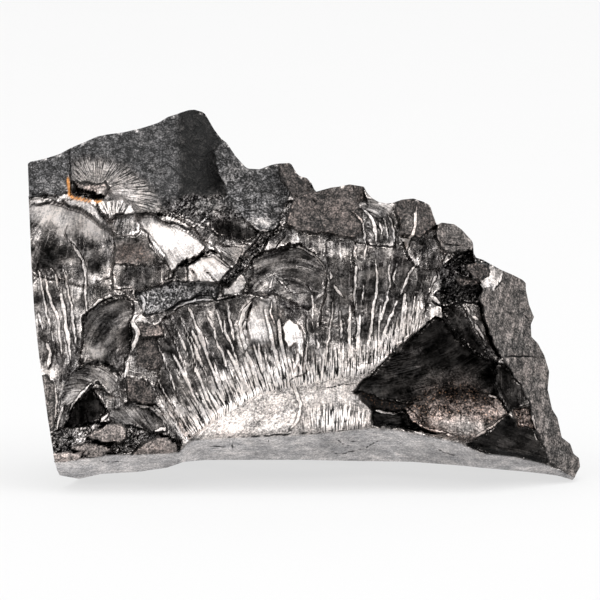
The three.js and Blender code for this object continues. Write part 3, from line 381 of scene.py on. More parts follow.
    "sparkling strip": dict(finish="satin", tone=1.3, sink=0.5, lean=0.2, turn=0, edge=[(-19.2, 8.3),
         (-18, 8), (-16.6, 7.4), (-16.1, 6.6), (-17.6, 6.5), (-18.4, 7.2)]),
    "lower arc": dict(finish="satin", tone=0.52, sink=0.5, lean=0.3, turn=0, edge=[(-17.6, 6.5),
         (-16.2, 6.9), (-15.3, 6.9), (-13.7, 6.6), (-12.8, 5.8), (-12.3, 4.3), (-13.2, 4.2), (-16, 4.7),
         (-17.6, 5.3)], rays=(-12.4, 2.4, 0.35, 0.08)),
    "brown step": dict(finish="brown", sink=-0.1, lean=0.1, turn=0.15, edge=[(-16, 9.3), (-14.75, 9.2),
         (-13.6, 8.1), (-13.4, 6.9), (-14.6, 7), (-16.1, 7.3)]),
    "middle step": dict(finish="brown", sink=0, lean=0.2, turn=-0.1, edge=[(-14.9, 12.9), (-13.5, 13),
         (-12.7, 10.8), (-13.4, 10), (-15.3, 10.4)]),
    "upper step": dict(finish="brown", tone=1.25, sink=-0.3, lean=0.1, turn=0.1, edge=[(-15, 14.3),
         (-13, 14.1), (-12.7, 13), (-15, 13.2)]),
    "rubble ground": dict(finish="crumbly", tone=1.5, sink=0.6, lean=0.2, turn=0, edge=[(-23.6, 1.2),
         (-23.4, 4), (-21.7, 4.8), (-18.6, 5.1), (-16, 5), (-13.5, 4.3), (-11, 3.6), (-11.3, 2.2),
         (-17.5, 1.9), (-21.5, 1.4)]),
    "left edge facet": dict(finish="flank", tone=1.25, sink=0.2, lean=0, turn=-0.4, edge=[(-24.5, 9.4),
         (-23.3, 9.4), (-22.6, 8.7), (-22.3, 7.3), (-22.7, 4.7), (-24.5, 4)]),
    "upper pebble": dict(finish="pebble", tone=1.1, sink=-0.8, lean=0.5, turn=0, edge=[(-19.7, 4.1),
         (-17.65, 5.1), (-16.6, 5.2), (-16, 4.6), (-15.9, 3.8), (-16.5, 3.4), (-18.35, 3.6)]),
    "middle pebble": dict(finish="pebble", tone=1.15, sink=-0.5, lean=0.5, turn=0, edge=[(-21.2, 3),
         (-20, 3.4), (-18.35, 3.35), (-17.3, 2.8), (-18.35, 2.2), (-19.7, 2.1)]),
    "lower pebble": dict(finish="pebble", tone=1.45, sink=-0.6, lean=0.4, turn=0, edge=[(-23.5, 2.4),
         (-21.1, 2.6), (-19.6, 2.6), (-20.8, 1.7), (-23.5, 1.2)]),
    "right pebble": dict(finish="pebble", sink=-0.5, lean=0.4, turn=0, edge=[(-15.8, 2.2), (-14.6, 3.4),
         (-13.5, 3.8), (-12.3, 3.8), (-11.6, 3.4), (-11.3, 2.2)]),
}

# Ridges: half width, height, then the route of the crest.
# The shader draws each crest as a painted highlight, with a painted shadow at its foot.
RIDGES = [
    # The upper rims of the band and the shells.
    (0.09, 0.15, [(-25, 25.6), (-24.1, 25.65), (-23, 25.45), (-22.4, 25.3)]),
    (0.1, 0.15, [(-25, 25.05), (-22.9, 25.15), (-21.1, 24.75), (-20, 24.2), (-18.4, 23), (-17.4, 22.2)]),
    (0.1, 0.15, [(-15.2, 24), (-13.6, 23.9), (-12.2, 23.2), (-11.3, 23), (-10.3, 22.4), (-8.9, 21.1)]),
    (0.1, 0.15, [(-10.4, 19.6), (-9.4, 20.2), (-8.3, 20.4), (-7.1, 19.7), (-6.4, 19)]),
    (0.09, 0.12, [(-14.6, 22.8), (-12.9, 20.9), (-11.8, 19.3)]),
    # The hackles of the left end.
    (0.16, 0.3, [(-24.4, 20.2), (-24, 18.5), (-23.3, 15), (-22.65, 12.4), (-22.4, 10.8)]),
    (0.18, 0.3, [(-23.6, 19.6), (-23.3, 17.2), (-22.4, 14.9), (-22.05, 12.4), (-21.85, 10.6)]),
    (0.22, 0.35, [(-23.5, 19.7), (-22.6, 18.7), (-22.2, 17.2), (-21.7, 14.9), (-21.3, 12.4),
                  (-21.05, 10)]),
    (0.18, 0.3, [(-22.2, 19.7), (-21.7, 18.7), (-21.4, 17.2), (-21, 14.9), (-20.7, 12.6), (-20.5, 11.3)]),
    (0.16, 0.3, [(-21.5, 23.2), (-21.8, 22.5), (-21.4, 21.7), (-20.65, 20.9), (-20.1, 20), (-19.85, 18.8),
                 (-19.8, 14.4)]),
    (0.15, 0.25, [(-24.2, 15.5), (-23.6, 13.4)]),
    (0.25, 0.25, [(-23.4, 12.6), (-23.1, 11.4), (-23.2, 10.1)]),
    (0.13, 0.2, [(-22.6, 9.2), (-22.4, 7), (-22.6, 4.9)]),
    (0.13, 0.2, [(-21.6, 7), (-22.1, 5.8), (-22.4, 4.4)]),
    (0.12, 0.2, [(-19.75, 15.4), (-18.4, 16.4), (-17, 17.05)]),
    (0.14, 0.25, [(-18.9, 9.3), (-20.8, 7.05), (-21.4, 6)]),
    (0.22, 0.3, [(-14.9, 17), (-14.5, 16.1), (-14.6, 15.1)]),
    (0.3, 0.3, [(-14.7, 15.2), (-15.3, 14.9), (-15.5, 14.4), (-15, 13.4), (-15.3, 12.4), (-15.6, 11.4)]),
    (0.2, 0.3, [(-15.75, 11.1), (-15.95, 10.3), (-16.3, 9.1)]),
    (0.18, 0.2, [(-16.1, 7.1), (-15.3, 6.85), (-13.8, 6.6), (-12.9, 5.8), (-12.45, 5), (-12.35, 4.3)]),
    (0.22, 0.2, [(-13.6, 4.45), (-12.9, 4.6), (-12.4, 4.4)]),
    (0.1, 0.15, [(-17.6, 6.3), (-18.3, 5.2)]),
    # The lines between the shells.
    (0.1, 0.2, [(-14.4, 21.9), (-13.5, 20.8), (-12.5, 19.6)]),
    (0.1, 0.2, [(-14, 21.9), (-13.1, 20.8), (-12.1, 19.6)]),
    (0.1, 0.15, [(-10.7, 22.7), (-9.3, 23.5), (-8.6, 24)]),
    (0.1, 0.15, [(-7.4, 21.45), (-5.8, 21.3), (-4.3, 21.15)]),
    (0.1, 0.15, [(-5.4, 21.2), (-5.6, 20.1)]),
    (0.1, 0.15, [(-13.3, 24.3), (-11.4, 24), (-9.6, 23.2), (-7.7, 22.2)]),
    (0.12, 0.15, [(-2.5, 22.75), (-3.8, 22.6), (-5.2, 23.6)]),
    # The long ridges of the right centre.
    (0.13, 0.25, [(3.8, 24.9), (4.85, 24.2), (5.4, 23.2), (5.65, 21.2), (5.5, 19)]),
    (0.26, 0.35, [(5.2, 24.8), (6, 24.1), (6.5, 23), (6.6, 21.2)]),
    (0.18, 0.3, [(6.65, 20.6), (6.6, 17), (6.35, 15.2), (6, 12.6), (5.8, 10.8)]),
    (0.15, 0.25, [(4.3, 22), (4.7, 21.1), (4.6, 20.2)]),
    (0.1, 0.15, [(7.6, 24.3), (8.1, 23.1), (8.3, 22), (8.1, 20.9)]),
    (0.09, 0.15, [(7.1, 24.1), (7.6, 22.9), (7.7, 21.7)]),
    (0.09, 0.15, [(6.7, 23.8), (7.1, 22.8), (7.2, 21.6)]),
    (0.1, 0.15, [(7.9, 20.4), (7.7, 19), (7.9, 17.8), (7.6, 16.6), (7.9, 15.6)]),
    (0.09, 0.15, [(8.5, 20), (8.2, 18.4), (8.4, 17.2)]),
    (0.09, 0.15, [(5.5, 18.2), (5.4, 16), (5.6, 14)]),
    (0.09, 0.15, [(-2.6, 18.6), (-3, 17.9), (-3.1, 16.9)]),
    (0.09, 0.15, [(-2.5, 18.4), (-1.7, 17.6), (-1.1, 16.8)]),
    (0.15, 0.25, [(4.85, 20), (4.65, 17), (4.55, 15.3)]),
    (0.12, 0.2, [(-1.9, 20.75), (-0.4, 21.25), (1, 20.5), (1.85, 19.5), (2.1, 18)]),
    (0.12, 0.25, [(0.3, 18), (0.7, 17.2), (0.85, 15.9), (0.8, 13.5)]),
    (0.12, 0.2, [(2.3, 19.1), (2.5, 18.6), (2.35, 18)]),
    (0.2, 0.25, [(2.6, 17.8), (3.1, 17.2), (3.8, 16.6)]),
    (0.14, 0.25, [(2.75, 16.7), (2.55, 14.5), (2.2, 12.4), (2.05, 10.6)]),
    (0.12, 0.25, [(3.2, 16.7), (3.4, 13.8), (3.35, 11.5)]),
    (0.15, 0.25, [(4.3, 15.2), (4.05, 13.5), (4.4, 10.8)]),
    (0.15, 0.25, [(4.8, 15.3), (4.97, 13.4), (4.9, 11.5)]),
    (0.12, 0.2, [(1.05, 13.2), (1.4, 11.6)]),
    (0.13, 0.2, [(7.75, 16.9), (7.1, 15), (6.9, 14)]),
    (0.15, 0.25, [(8.6, 16.6), (7.75, 14.4), (7.1, 12.6), (6.8, 11.4)]),
    (0.12, 0.2, [(8.7, 14.2), (8.2, 11.8)]),
    (0.12, 0.2, [(7.65, 13.4), (7.4, 11.3)]),
    (0.15, 0.25, [(10.4, 19.8), (9.4, 18.2), (8.7, 16.6)]),
    (0.18, 0.3, [(9.4, 16.6), (9.25, 14.8), (8.95, 12.5)]),
    (0.12, 0.2, [(8.4, 16.5), (8, 14.8)]),
    (0.14, 0.25, [(8.6, 15.1), (8.2, 12)]),
    (0.12, 0.2, [(9.5, 15.3), (10.1, 14.1)]),
    (0.12, 0.2, [(10.65, 15.7), (10.15, 14.1)]),
    (0.12, 0.25, [(12.35, 19.2), (11.15, 16.6)]),
    (0.16, 0.3, [(10.25, 25.3), (10.2, 23), (9.6, 21.8), (9.35, 20.8), (9.6, 19.8)]),
    (0.35, 0.25, [(8.8, 22), (9.3, 21.7), (9.5, 21)]),
    (0.25, 0.2, [(11.4, 16.7), (12, 16.4), (12.5, 16)]),
    (0.18, 0.2, [(12.45, 20.1), (12.85, 20.3)]),
    (0.15, 0.2, [(14.8, 15.9), (15.2, 14.9)]),
    (0.16, 0.2, [(15.3, 14.9), (15.9, 14.6)]),
    (0.16, 0.2, [(15.6, 14.3), (16.3, 13.1), (16.4, 12.6)]),
    (0.1, 0.15, [(15.3, 3.75), (17.1, 4.85), (18.6, 5.85)]),
    (0.1, 0.15, [(10.4, 4.95), (12.5, 4.35), (14.7, 3.75)]),
    (0.16, 0.15, [(16.8, 7.8), (17.7, 7.45)]),
    (0.15, 0.2, [(20.9, 6), (21.1, 4.4)]),
    (0.16, 0.15, [(6.1, 6.45), (7.4, 6.15), (8.7, 6)]),
    # The coarse hackles of the great fan.
    (0.2, 0.4, [(-10.6, 16.1), (-9.65, 14), (-8.7, 11.8)]),
    (0.2, 0.3, [(-10.2, 13.9), (-9.2, 11.5)]),
    (0.15, 0.3, [(-9.1, 15.8), (-8.3, 13.9), (-7.5, 11.7), (-6.9, 9.6)]),
    (0.13, 0.3, [(-11.4, 14.7), (-10.2, 12.9), (-8.95, 9.8), (-8.3, 8.2)]),
    (0.12, 0.25, [(-12.2, 15), (-10.7, 11.9), (-9.5, 9.1)]),
    (0.12, 0.25, [(-12.6, 14.2), (-11.5, 12.2), (-10.7, 9.8), (-10, 7.5)]),
    (0.12, 0.25, [(-13.5, 12.9), (-12.7, 11.2), (-12, 9.1), (-11.3, 7.2)]),
    (0.12, 0.2, [(-14.2, 9.1), (-13, 7.65), (-11.85, 5.7), (-10.8, 4.3)]),
    (0.12, 0.2, [(-13.4, 9.6), (-12.6, 7.9), (-11.2, 5.6)]),
    (0.14, 0.3, [(-8.4, 11.6), (-7.9, 9.8), (-7.3, 8.4)]),
    (0.14, 0.25, [(-7.4, 15.3), (-7.1, 13.4), (-6.5, 12.1), (-5.9, 10.4), (-5.5, 9.6)]),
    (0.16, 0.25, [(-6.7, 16.2), (-6.75, 14.5), (-6.15, 12.2)]),
    (0.28, 0.3, [(-4.4, 16.7), (-5.5, 15.3), (-5.75, 14.1), (-5.35, 12.4), (-4.75, 10.5), (-4.3, 9)]),
    (0.13, 0.2, [(-4.15, 12.7), (-3.9, 10.6), (-3.7, 9.6)]),
    (0.12, 0.2, [(-3.25, 13.4), (-2.75, 12.5), (-3.05, 11.4)]),
    (0.12, 0.2, [(-2.35, 12.1), (-2.45, 10.2)]),
    (0.2, 0.2, [(-1.6, 10.6), (-1.3, 10)]),
    (0.1, 0.2, [(-10.9, 13.6), (-10, 11.6), (-9.3, 9.4)]),
    (0.1, 0.2, [(-9.4, 13.2), (-8.6, 11.2)]),
    (0.1, 0.2, [(-8, 15.9), (-7.6, 14.2), (-7.1, 12.9)]),
    (0.1, 0.2, [(-6.3, 11.3), (-5.9, 9.9), (-5.4, 8.8)]),
    (0.1, 0.2, [(-3.6, 12.2), (-3.4, 10.6)]),
    (0.1, 0.2, [(-5, 11.6), (-4.6, 10)]),
    (0.1, 0.2, [(-11.8, 10.6), (-11.1, 9)]),
    (0.1, 0.2, [(-2.9, 16.4), (-3, 15.2), (-2.6, 14)]),
    (0.25, 0.3, [(-0.95, 9.7), (-0.75, 8), (-0.2, 6.9), (-0.4, 5.6), (-1.4, 4.4)]),
    (0.12, 0.15, [(-13, 15.15), (-11, 15.9), (-9.8, 16.4), (-8, 16.4), (-6.5, 16.8), (-5, 17.1)]),
]

# Cracks and dark creases, drawn dark as painted shade: half width, depth, then the route.
CRACKS = [
    (0.1, 0.35, [(-21.35, 30.6), (-21.3, 28.8), (-21.4, 27.3)]),
    (0.16, 0.5, [(-12.1, 18.9), (-11.2, 19.5), (-10.5, 20.05), (-9.5, 20.4), (-8.6, 20.8), (-7.5, 20.5)]),
    (0.12, 0.3, [(-22.9, 25.3), (-21.1, 24.95), (-19.7, 24.3), (-18.35, 23.15), (-17.2, 22.2)]),
    (0.1, 0.35, [(-18.4, 24.9), (-18.2, 24.1), (-17.7, 23.6), (-16.9, 24.1), (-15.3, 24.3),
                 (-13.7, 24.25), (-11.8, 23.9), (-10.35, 23.15), (-9.2, 22), (-8.3, 21)]),
    (0.08, 0.3, [(0.85, 25.7), (1.2, 25.1)]),
    (0.1, 0.35, [(17.9, 11.1), (20, 11.25), (21.9, 11)]),
    (0.08, 0.3, [(12.2, 21.8), (13, 21.4), (14.6, 21.2)]),
    (0.14, 0.4, [(-25.2, 25.9), (-23.6, 25.95), (-22.2, 25.6)]),
    (0.07, 0.25, [(-14.8, 28.3), (-13.6, 27.8), (-12, 27.9)]),
    (0.06, 0.1, [(0.2, 8.25), (2.5, 8.45), (5.2, 8.9)]),
    (0.12, 0.3, [(-20.3, 10.4), (-19.5, 10.75), (-18.3, 10.7), (-17.3, 10.2), (-16.5, 9.3)]),
    (0.12, 0.4, [(-16.1, 7.3), (-14.7, 6.95), (-13.3, 6.9), (-12.3, 5.6)]),
    (0.14, 0.4, [(-19.8, 4), (-18.3, 3.55), (-16.6, 3.3)]),
    (0.12, 0.4, [(-22.5, 2.5), (-21.2, 2.8), (-19.6, 2.5), (-18.4, 2.2)]),
    (0.1, 0.3, [(-11.2, 2.7), (-9.8, 3.75), (-7, 3.95), (0, 4.2), (6, 4.8)]),
    (0.12, 0.35, [(-10.4, 19.3), (-9.5, 18.3)]),
    (0.12, 0.35, [(-9.1, 19.2), (-7.9, 17.9)]),
    (0.1, 0.3, [(-11.9, 20.6), (-10.6, 19.9)]),
    (0.1, 0.3, [(20, 15.2), (20.7, 14.3)]),
    (0.1, 0.3, [(-4.6, 16.4), (-5.2, 14.8), (-5, 13.2)]),
    (0.12, 0.4, [(16.1, 17.3), (16, 16), (16.2, 14.9), (16.85, 13), (17.7, 11.4), (18.9, 9.8)]),
    (0.1, 0.3, [(-4.6, 20.3), (-2.5, 21.1), (-1.5, 22.3)]),
    (0.15, 0.4, [(-14.6, 14.9), (-12.5, 15.4), (-11.3, 16.1), (-9.5, 16.7), (-7.3, 17)]),
]

# The cracks and scratches of the undercut below the lip.
UNDERCUT_CRACKS = [
    (0.08, 0.1, [(1.2, 2.7), (3.4, 2.35), (5.4, 2.75), (7, 3.6), (8, 4.2)]),
    (0.05, 0.05, [(2.6, 3.9), (3.6, 3.3), (4.8, 2.9)]),
    (0.05, 0.05, [(3.6, 4), (4.6, 3.5), (5.8, 3.2)]),
    (0.06, 0.06, [(4.6, 4.2), (5.4, 3.8), (6.6, 3.7)]),
    (0.05, 0.05, [(-6.4, 3.7), (-6.5, 3), (-6.4, 2.6)]),
    (0.05, 0.05, [(-3.2, 3.8), (-3.2, 3.1)]),
    (0.05, 0.05, [(-10, 3.2), (-8.2, 3), (-5.2, 3.05)]),
    (0.06, 0.06, [(-19, 1.9), (-17.6, 1.6), (-16, 1.7)]),
    (0.06, 0.06, [(11.4, 3.1), (13, 2.4), (14.4, 2.1)]),
]

# Soft patches that follow no edge: x, z, half width, half height, strength, finish. Silver and bright
# ones are painted highlights, dark and black ones painted shade, and the others the stone's own finishes.
PAINTED_LIGHT_AND_FINISH_PATCHES = [
    (-18.8, 11.6, 0.9, 0.8, 1, "silver"),
    (-18.6, 14.4, 1.2, 0.5, 0.4, "satin"),
    (-3.8, 13.6, 0.9, 1.2, 0.9, "silver"),
    (-2.6, 15, 0.9, 1, 0.7, "brown"),
    (-9.6, 13.2, 0.8, 1.6, 0.4, "satin"),
    (-6.2, 27, 1.2, 1.6, 0.5, "mottled"),
    (-3.1, 26.8, 1.2, 1.5, 0.8, "slab"),
    (-4.3, 23.4, 1.6, 0.5, 0.7, "bright"),
    (-16, 25.9, 1.6, 1.4, 0.7, "satin"),
    (-17.9, 26.2, 0.6, 0.35, 0.9, "brown"),
    (-17, 18.5, 2, 1, 0.5, "dark"),
    (-15.9, 13, 0.8, 1.6, 0.9, "black"),
    (10, 23.6, 0.9, 1, 0.6, "dark"),
    (3.4, 16.8, 0.4, 1.2, 0.7, "bright"),
    (14, 5, 2, 1, 0.5, "bright"),
    (0.6, 27, 0.5, 0.5, 0.9, "black"),
    (-8.2, 25, 2.2, 0.7, 0.7, "mottled"),
]

# The great hackle fan: its base line, how far aside its ridges lean above each point of that line, its
# outline, and its bands of ridges.
FAN_BASE = [(-10.8, 3.7), (-9.4, 4.7), (-6.9, 6.7), (-3.8, 8.1), (-1.4, 8.9), (0.2, 8.9), (2.2, 9.3),
            (5.3, 9.9), (7, 10.8), (8.7, 12.2), (10.5, 13.8)]
FAN_TILTS = [-0.75, -0.6, -0.45, -0.35, -0.22, -0.02, 0.02, 0.03, 0.06, 0.1, 0.15]
FAN_REGION = [(-14, 8), (-13, 15.3), (-8, 16.5), (-4, 17), (0, 17), (4, 17.5), (10.8, 17), (11, 14.2),
              (8.7, 11.9), (5.5, 9.6), (0, 8.6), (-4, 7.8), (-10.9, 3.5)]
FAN_BANDS = [(0.45, 0.1, 3), (0.9, 0.18, 6.5)]  # pitch, height, how far they reach up

# Where the rust stain lies round the pit.
RUST_LINE = [(-21.55, 27.6), (-21.4, 26.8), (-21.35, 25.95), (-20.9, 25.65), (-19.3, 25.35),
             (-18.4, 25.3)]


# ---------------------------------------------------------------- numbers on whole arrays
#
# Where noise, clouds, cells or facets are drawn, x and z are divided by their size in millimetres, and
# the whole number after them only picks one of their patterns.

def smooth(t):
    """Three t squared less two t cubed, with t held between 0 and 1."""
    t = np.clip(t, 0, 1)
    return t * t * (3 - 2 * t)


def hashed(i, j, seed):
    """A repeatable number from 0 to 1 for whole numbers i and j, by multiplying and mixing their bits."""
    by_i, by_j, by_seed, by_mix = 374761393, 668265263, 974634777, 1274126177
    word = 0xFFFFFFFF
    i = np.asarray(i).astype(np.int64)
    j = np.asarray(j).astype(np.int64)
    mixed = (i * by_i + j * by_j + seed * by_seed) & word
    mixed = ((mixed ^ (mixed >> 13)) * by_mix) & word
    return ((mixed ^ (mixed >> 16)) & 0xFFFFFF) / 0x1000000


def noise(x, z, seed):
    """Gradient noise from about -1 to 1: at each whole point a slope in a hashed direction, blended."""
    i, j = np.floor(x), np.floor(z)
    u, v = x - i, z - j

    def corner(di, dj):
        angle = 2 * np.pi * hashed(i + di, j + dj, seed)
        return np.cos(angle) * (u - di) + np.sin(angle) * (v - dj)

    su, sv = smooth(u), smooth(v)
    low = corner(0, 0) + (corner(1, 0) - corner(0, 0)) * su
    high = corner(0, 1) + (corner(1, 1) - corner(0, 1)) * su
    return 1.5 * (low + (high - low) * sv)


def clouds(x, z, seed, octaves=3):
    """A sum of gradient noises, each half as large and half as high as the last."""
    return sum(noise(x * 2**k, z * 2**k, seed + k) / 2**k for k in range(octaves))


def cells(x, z, seed):
    """Broken ground one unit across: the offset from the nearest of a jittered set of middles, and the
    two whole numbers of its cell."""
    i, j = np.floor(x), np.floor(z)
    nearest = np.full(np.shape(x), np.inf)
    found = [np.zeros(np.shape(x)) for _ in range(4)]
    for di in (-1, 0, 1):
        for dj in (-1, 0, 1):
            dx = i + di + hashed(i + di, j + dj, seed) - x
            dz = j + dj + hashed(i + di, j + dj, seed + 1) - z
            closer = dx * dx + dz * dz < nearest
            nearest = np.where(closer, dx * dx + dz * dz, nearest)
            found = [np.where(closer, new, old) for new, old in zip((dx, dz, i + di, j + dj), found)]
    return found


def facets(x, z, seed, tilt):
    """Broken cells one unit across, each a slanted plane whose two slopes are hashed and within tilt."""
    dx, dz, i, j = cells(x, z, seed)
    slope_x = 2 * hashed(i, j, seed + 2) - 1
    slope_z = 2 * hashed(i, j, seed + 3) - 1
    return tilt * (slope_x * dx + slope_z * dz)


def combed(across, along, pitch, seed, girth=1):
    """Ridges at uneven spacing: their height, from 0 to 1, and how far inside the nearest one a point
    lies. In each pitch stands one ridge with a tent for its section. Its place is hashed and wanders by
    a third of a pitch, its height is 0.3 to 1, and its half width 0.28 to 0.58 of a pitch by the girth."""
    cell = np.floor(across / pitch)
    best = np.zeros(np.shape(across))
    within = np.full(np.shape(across), -pitch)
    for step in (-1, 0, 1):
        k = cell + step
        wander = 0.35 * noise(along / (7 * pitch), k * 7.31 + 0.5, seed)
        middle = (k + 0.5 + 0.6 * (hashed(k, 1, seed) - 0.5) + wander) * pitch
        tall = 0.3 + 0.7 * hashed(k, 2, seed)
        width = girth * pitch * (0.28 + 0.3 * hashed(k, 3, seed))
        apart = np.abs(across - middle)
        best = np.maximum(best, tall * np.clip(1 - apart / np.maximum(width, FINEST), 0, 1))
        within = np.maximum(within, np.minimum(0.55 * width * tall + 0.02, WIDEST_LINE) - apart)
    return best, within


def inside(x, z, edge):
    """Distance to a closed outline, positive inside it and negative outside."""
    nearest = np.full(np.shape(x), np.inf)
    within = np.zeros(np.shape(x), bool)
    for (ax, az), (bx, bz) in zip(edge, edge[1:] + edge[:1]):
        ex, ez = bx - ax, bz - az
        t = np.clip(((x - ax) * ex + (z - az) * ez) / (ex * ex + ez * ez), 0, 1)
        nearest = np.minimum(nearest, np.hypot(x - ax - t * ex, z - az - t * ez))
        if ez:
            crosses = ((az > z) != (bz > z)) & (x < ax + (z - az) * ex / ez)
            within ^= crosses
    return np.where(within, nearest, -nearest)


def beside(x, z, route):
    """Distance to an open route, and how far along it the nearest point lies, from 0 to 1."""
    points = np.array(route, float)
    lengths = np.hypot(*np.diff(points, axis=0).T)
    starts = np.concatenate([[0], np.cumsum(lengths)])
    nearest = np.full(np.shape(x), np.inf)
    along = np.zeros(np.shape(x))
    for (ax, az), (bx, bz), length, start in zip(points, points[1:], lengths, starts):
        ex, ez = (bx - ax) / length, (bz - az) / length
        t = np.clip((x - ax) * ex + (z - az) * ez, 0, length)
        apart = np.hypot(x - ax - t * ex, z - az - t * ez)
        closer = apart < nearest
        nearest = np.where(closer, apart, nearest)
        along = np.where(closer, (start + t) / starts[-1], along)
    return nearest, along


def height_on(route, x):
    """The z of a route at x."""
    points = np.array(route, float)
    return np.interp(x, points[:, 0], points[:, 1])


def side_on(route, z):
    """The x of a route at z."""
    points = np.array(route, float)
    return np.interp(z, points[:, 1], points[:, 0])


def near_by(x, z, points, reach):
    """Which points lie within reach of the box round an outline or a route."""
    low, high = np.min(points, axis=0) - reach, np.max(points, axis=0) + reach
    return (x > low[0]) & (x < high[0]) & (z > low[1]) & (z < high[1])


# ---------------------------------------------------------------- values over the stone

def blend(fields, name, mask, wanted, here=...):
    """One value moves to the wanted one by the mask, at the points that are here."""
    fields[name][here] += mask * (wanted - fields[name][here])


def swap(fields, name, mask, wanted, here=...):
    """One value becomes the wanted one where the mask is over a half, at the points that are here."""
    fields[name][here] = np.where(mask > 0.5, wanted, fields[name][here])


def add_finish(fields, mask, finish, here=..., brightness=1):
    """Each finish value moves to the named finish by the mask, and its tone is made brighter."""
    for name, value in zip(FINISH_VALUES, FINISHES[finish]):
        blend(fields, name, mask, value * brightness if name == "tone" else value, here)


def finish_table(finishes, kinds):
    """The finish values at each point, where kinds holds each point's place in a list of finishes."""
    rows = np.array([FINISHES[finish] for finish in finishes])
    return {name: rows[kinds, k] for k, name in enumerate(FINISH_VALUES)}


# ---------------------------------------------------------------- the show face

def broad_depth(x, z):
    """Depth of the broad lie of the face: its lean times the height above the foot, the roof's lean times
    the height above the shoulder, and each end's turn times the way past its corner."""
    rise = z - SHOULDER_HEIGHT
    lean = FACE_LEAN * rise + np.maximum(ROOF_LEAN * rise, 0)
    aside = np.maximum(np.maximum(RIGHT_TURN * (x - RIGHT_CORNER), LEFT_TURN * (LEFT_CORNER - x)), 0)
    return (SHOULDER_HEIGHT - FOOT_HEIGHT) * FACE_LEAN + lean + aside


def strike_flake(fields, flake, settings):
    """One flake: inside its outline the depth becomes its own plane, dished by a round hollow and combed
    by rays or rings, and the finish becomes its own. How far its edge lies is kept for the shader."""
    flake = PLAIN_FLAKE | flake
    edge = flake["edge"]
    here = near_by(fields["warp_x"], fields["warp_z"], edge, EDGE_REACH)
    x, z = fields["x"][here], fields["z"][here]
    cx, cz = np.mean(edge, axis=0)
    distance = inside(fields["warp_x"][here], fields["warp_z"][here], edge)
    mask = smooth(0.5 + distance / (2 * flake["soft"]))
    plane = broad_depth(cx, cz) + flake["sink"] + flake["turn"] * (x - cx) + flake["lean"] * (z - cz)
    hollow = flake["hollow"]
    if hollow:
        half = np.abs(np.array(edge) - (cx, cz)).max(axis=0)
        reach = DISH_RADIUS * hollow
        rim = math.sqrt(1 - ((reach - hollow) / reach) ** 2)
        off = np.clip(1 - ((x - cx) * rim / half[0]) ** 2 - ((z - cz) * rim / half[1]) ** 2, 0, 1)
        plane = np.maximum(plane, plane - reach + hollow + reach * np.sqrt(off))

    ox, oz, pitch, height = flake["rays"] or flake["rings"] or (cx, cz + PLAIN_RUN, 1, 0)
    radius = np.hypot(x - ox, z - oz)
    around = np.arctan2(x - ox, z - oz) * max(np.hypot(cx - ox, cz - oz), 1) * flake["fineness"]
    across, along = (radius, around) if flake["rings"] else (around, radius)
    if height:
        plane = plane - combed(across, along, pitch, 11)[0] * height * settings.relief
    blend(fields, "depth", mask, plane, here)

    # Shade: the tone grows across the flake as painted light and shade.
    shade_x, shade_z = flake["shade"]
    brightness = flake["tone"] * np.clip(1 + shade_x * (x - cx) + shade_z * (z - cz), 0.3, 1.6)
    add_finish(fields, mask, flake["finish"], here, brightness)
    # Glows: soft patches of other finishes, silver and bright ones painted highlights, dark ones painted
    # shade.
    for gx, gz, wide, high, strength, finish in flake["glow"]:
        off = np.hypot((x - gx) / wide, (z - gz) / high) + 0.25 * clouds(x / 0.9, z / 0.9, 57)
        add_finish(fields, mask * strength * smooth(1.4 - off), finish, here)
    swap(fields, "across", mask, across, here)
    swap(fields, "along", mask, along, here)
    edge_line = -np.abs(distance) - max(flake["soft"] - 0.1, 0)
    fields["edge"][here] = np.maximum(edge_line, fields["edge"][here])
    swap(fields, "edge", mask, edge_line, here)


def raise_fan(fields, settings):
    """The hackle fan. A point's foot on the base line is found by going back down along the lean of the
    fan there; ridges are combed across the feet, finer bands near the line and coarser ones higher."""
    here = near_by(fields["x"], fields["z"], FAN_REGION, 0.6)
    x, z = fields["x"][here], fields["z"][here]
    base = np.array(FAN_BASE, float)
    foot = x.copy()
    for _ in range(FAN_GUESSES):
        lean = np.interp(foot, base[:, 0], FAN_TILTS)
        rise = z - height_on(FAN_BASE, foot)
        foot = foot + 0.6 * (x - lean * np.maximum(rise, 0) - foot)
    rise = z - height_on(FAN_BASE, foot)
    region = smooth(0.5 + inside(x, z, FAN_REGION) / 0.6)
    for band, (pitch, height, reach) in enumerate(FAN_BANDS):
        own = reach * (0.5 + 0.8 * hashed(np.floor(foot / pitch), 5, band))
        start = 0.12 * reach if band else 0
        fade = smooth((own - rise) / (0.3 * reach)) * smooth((rise - start) / (0.1 * reach + 0.2))
        ridge, within = combed(foot + 0.03 * noise(x, z / 2, 3), rise, pitch, 20 + band, 0.5)
        fields["depth"][here] -= ridge * fade * region * height * settings.relief
        worn = 0.6 * (1 - fade * region) + 0.1 * smooth(-0.4 - clouds(x / 1.2, z / 3, 63))
        fields["ridge"][here] = np.maximum(fields["ridge"][here], within - worn)
    glow = region * smooth(1.25 - rise / 3.2)
    blend(fields, "tone", 0.8 * glow, 0.86, here)
    blend(fields, "gloss", 0.8 * glow, 0.34, here)
    blend(fields, "streaks", region, 0.3, here)
    blend(fields, "comb", region * smooth(1.2 - rise / 3.5), 1, here)
    swap(fields, "across", region, foot, here)
    swap(fields, "along", region, rise, here)


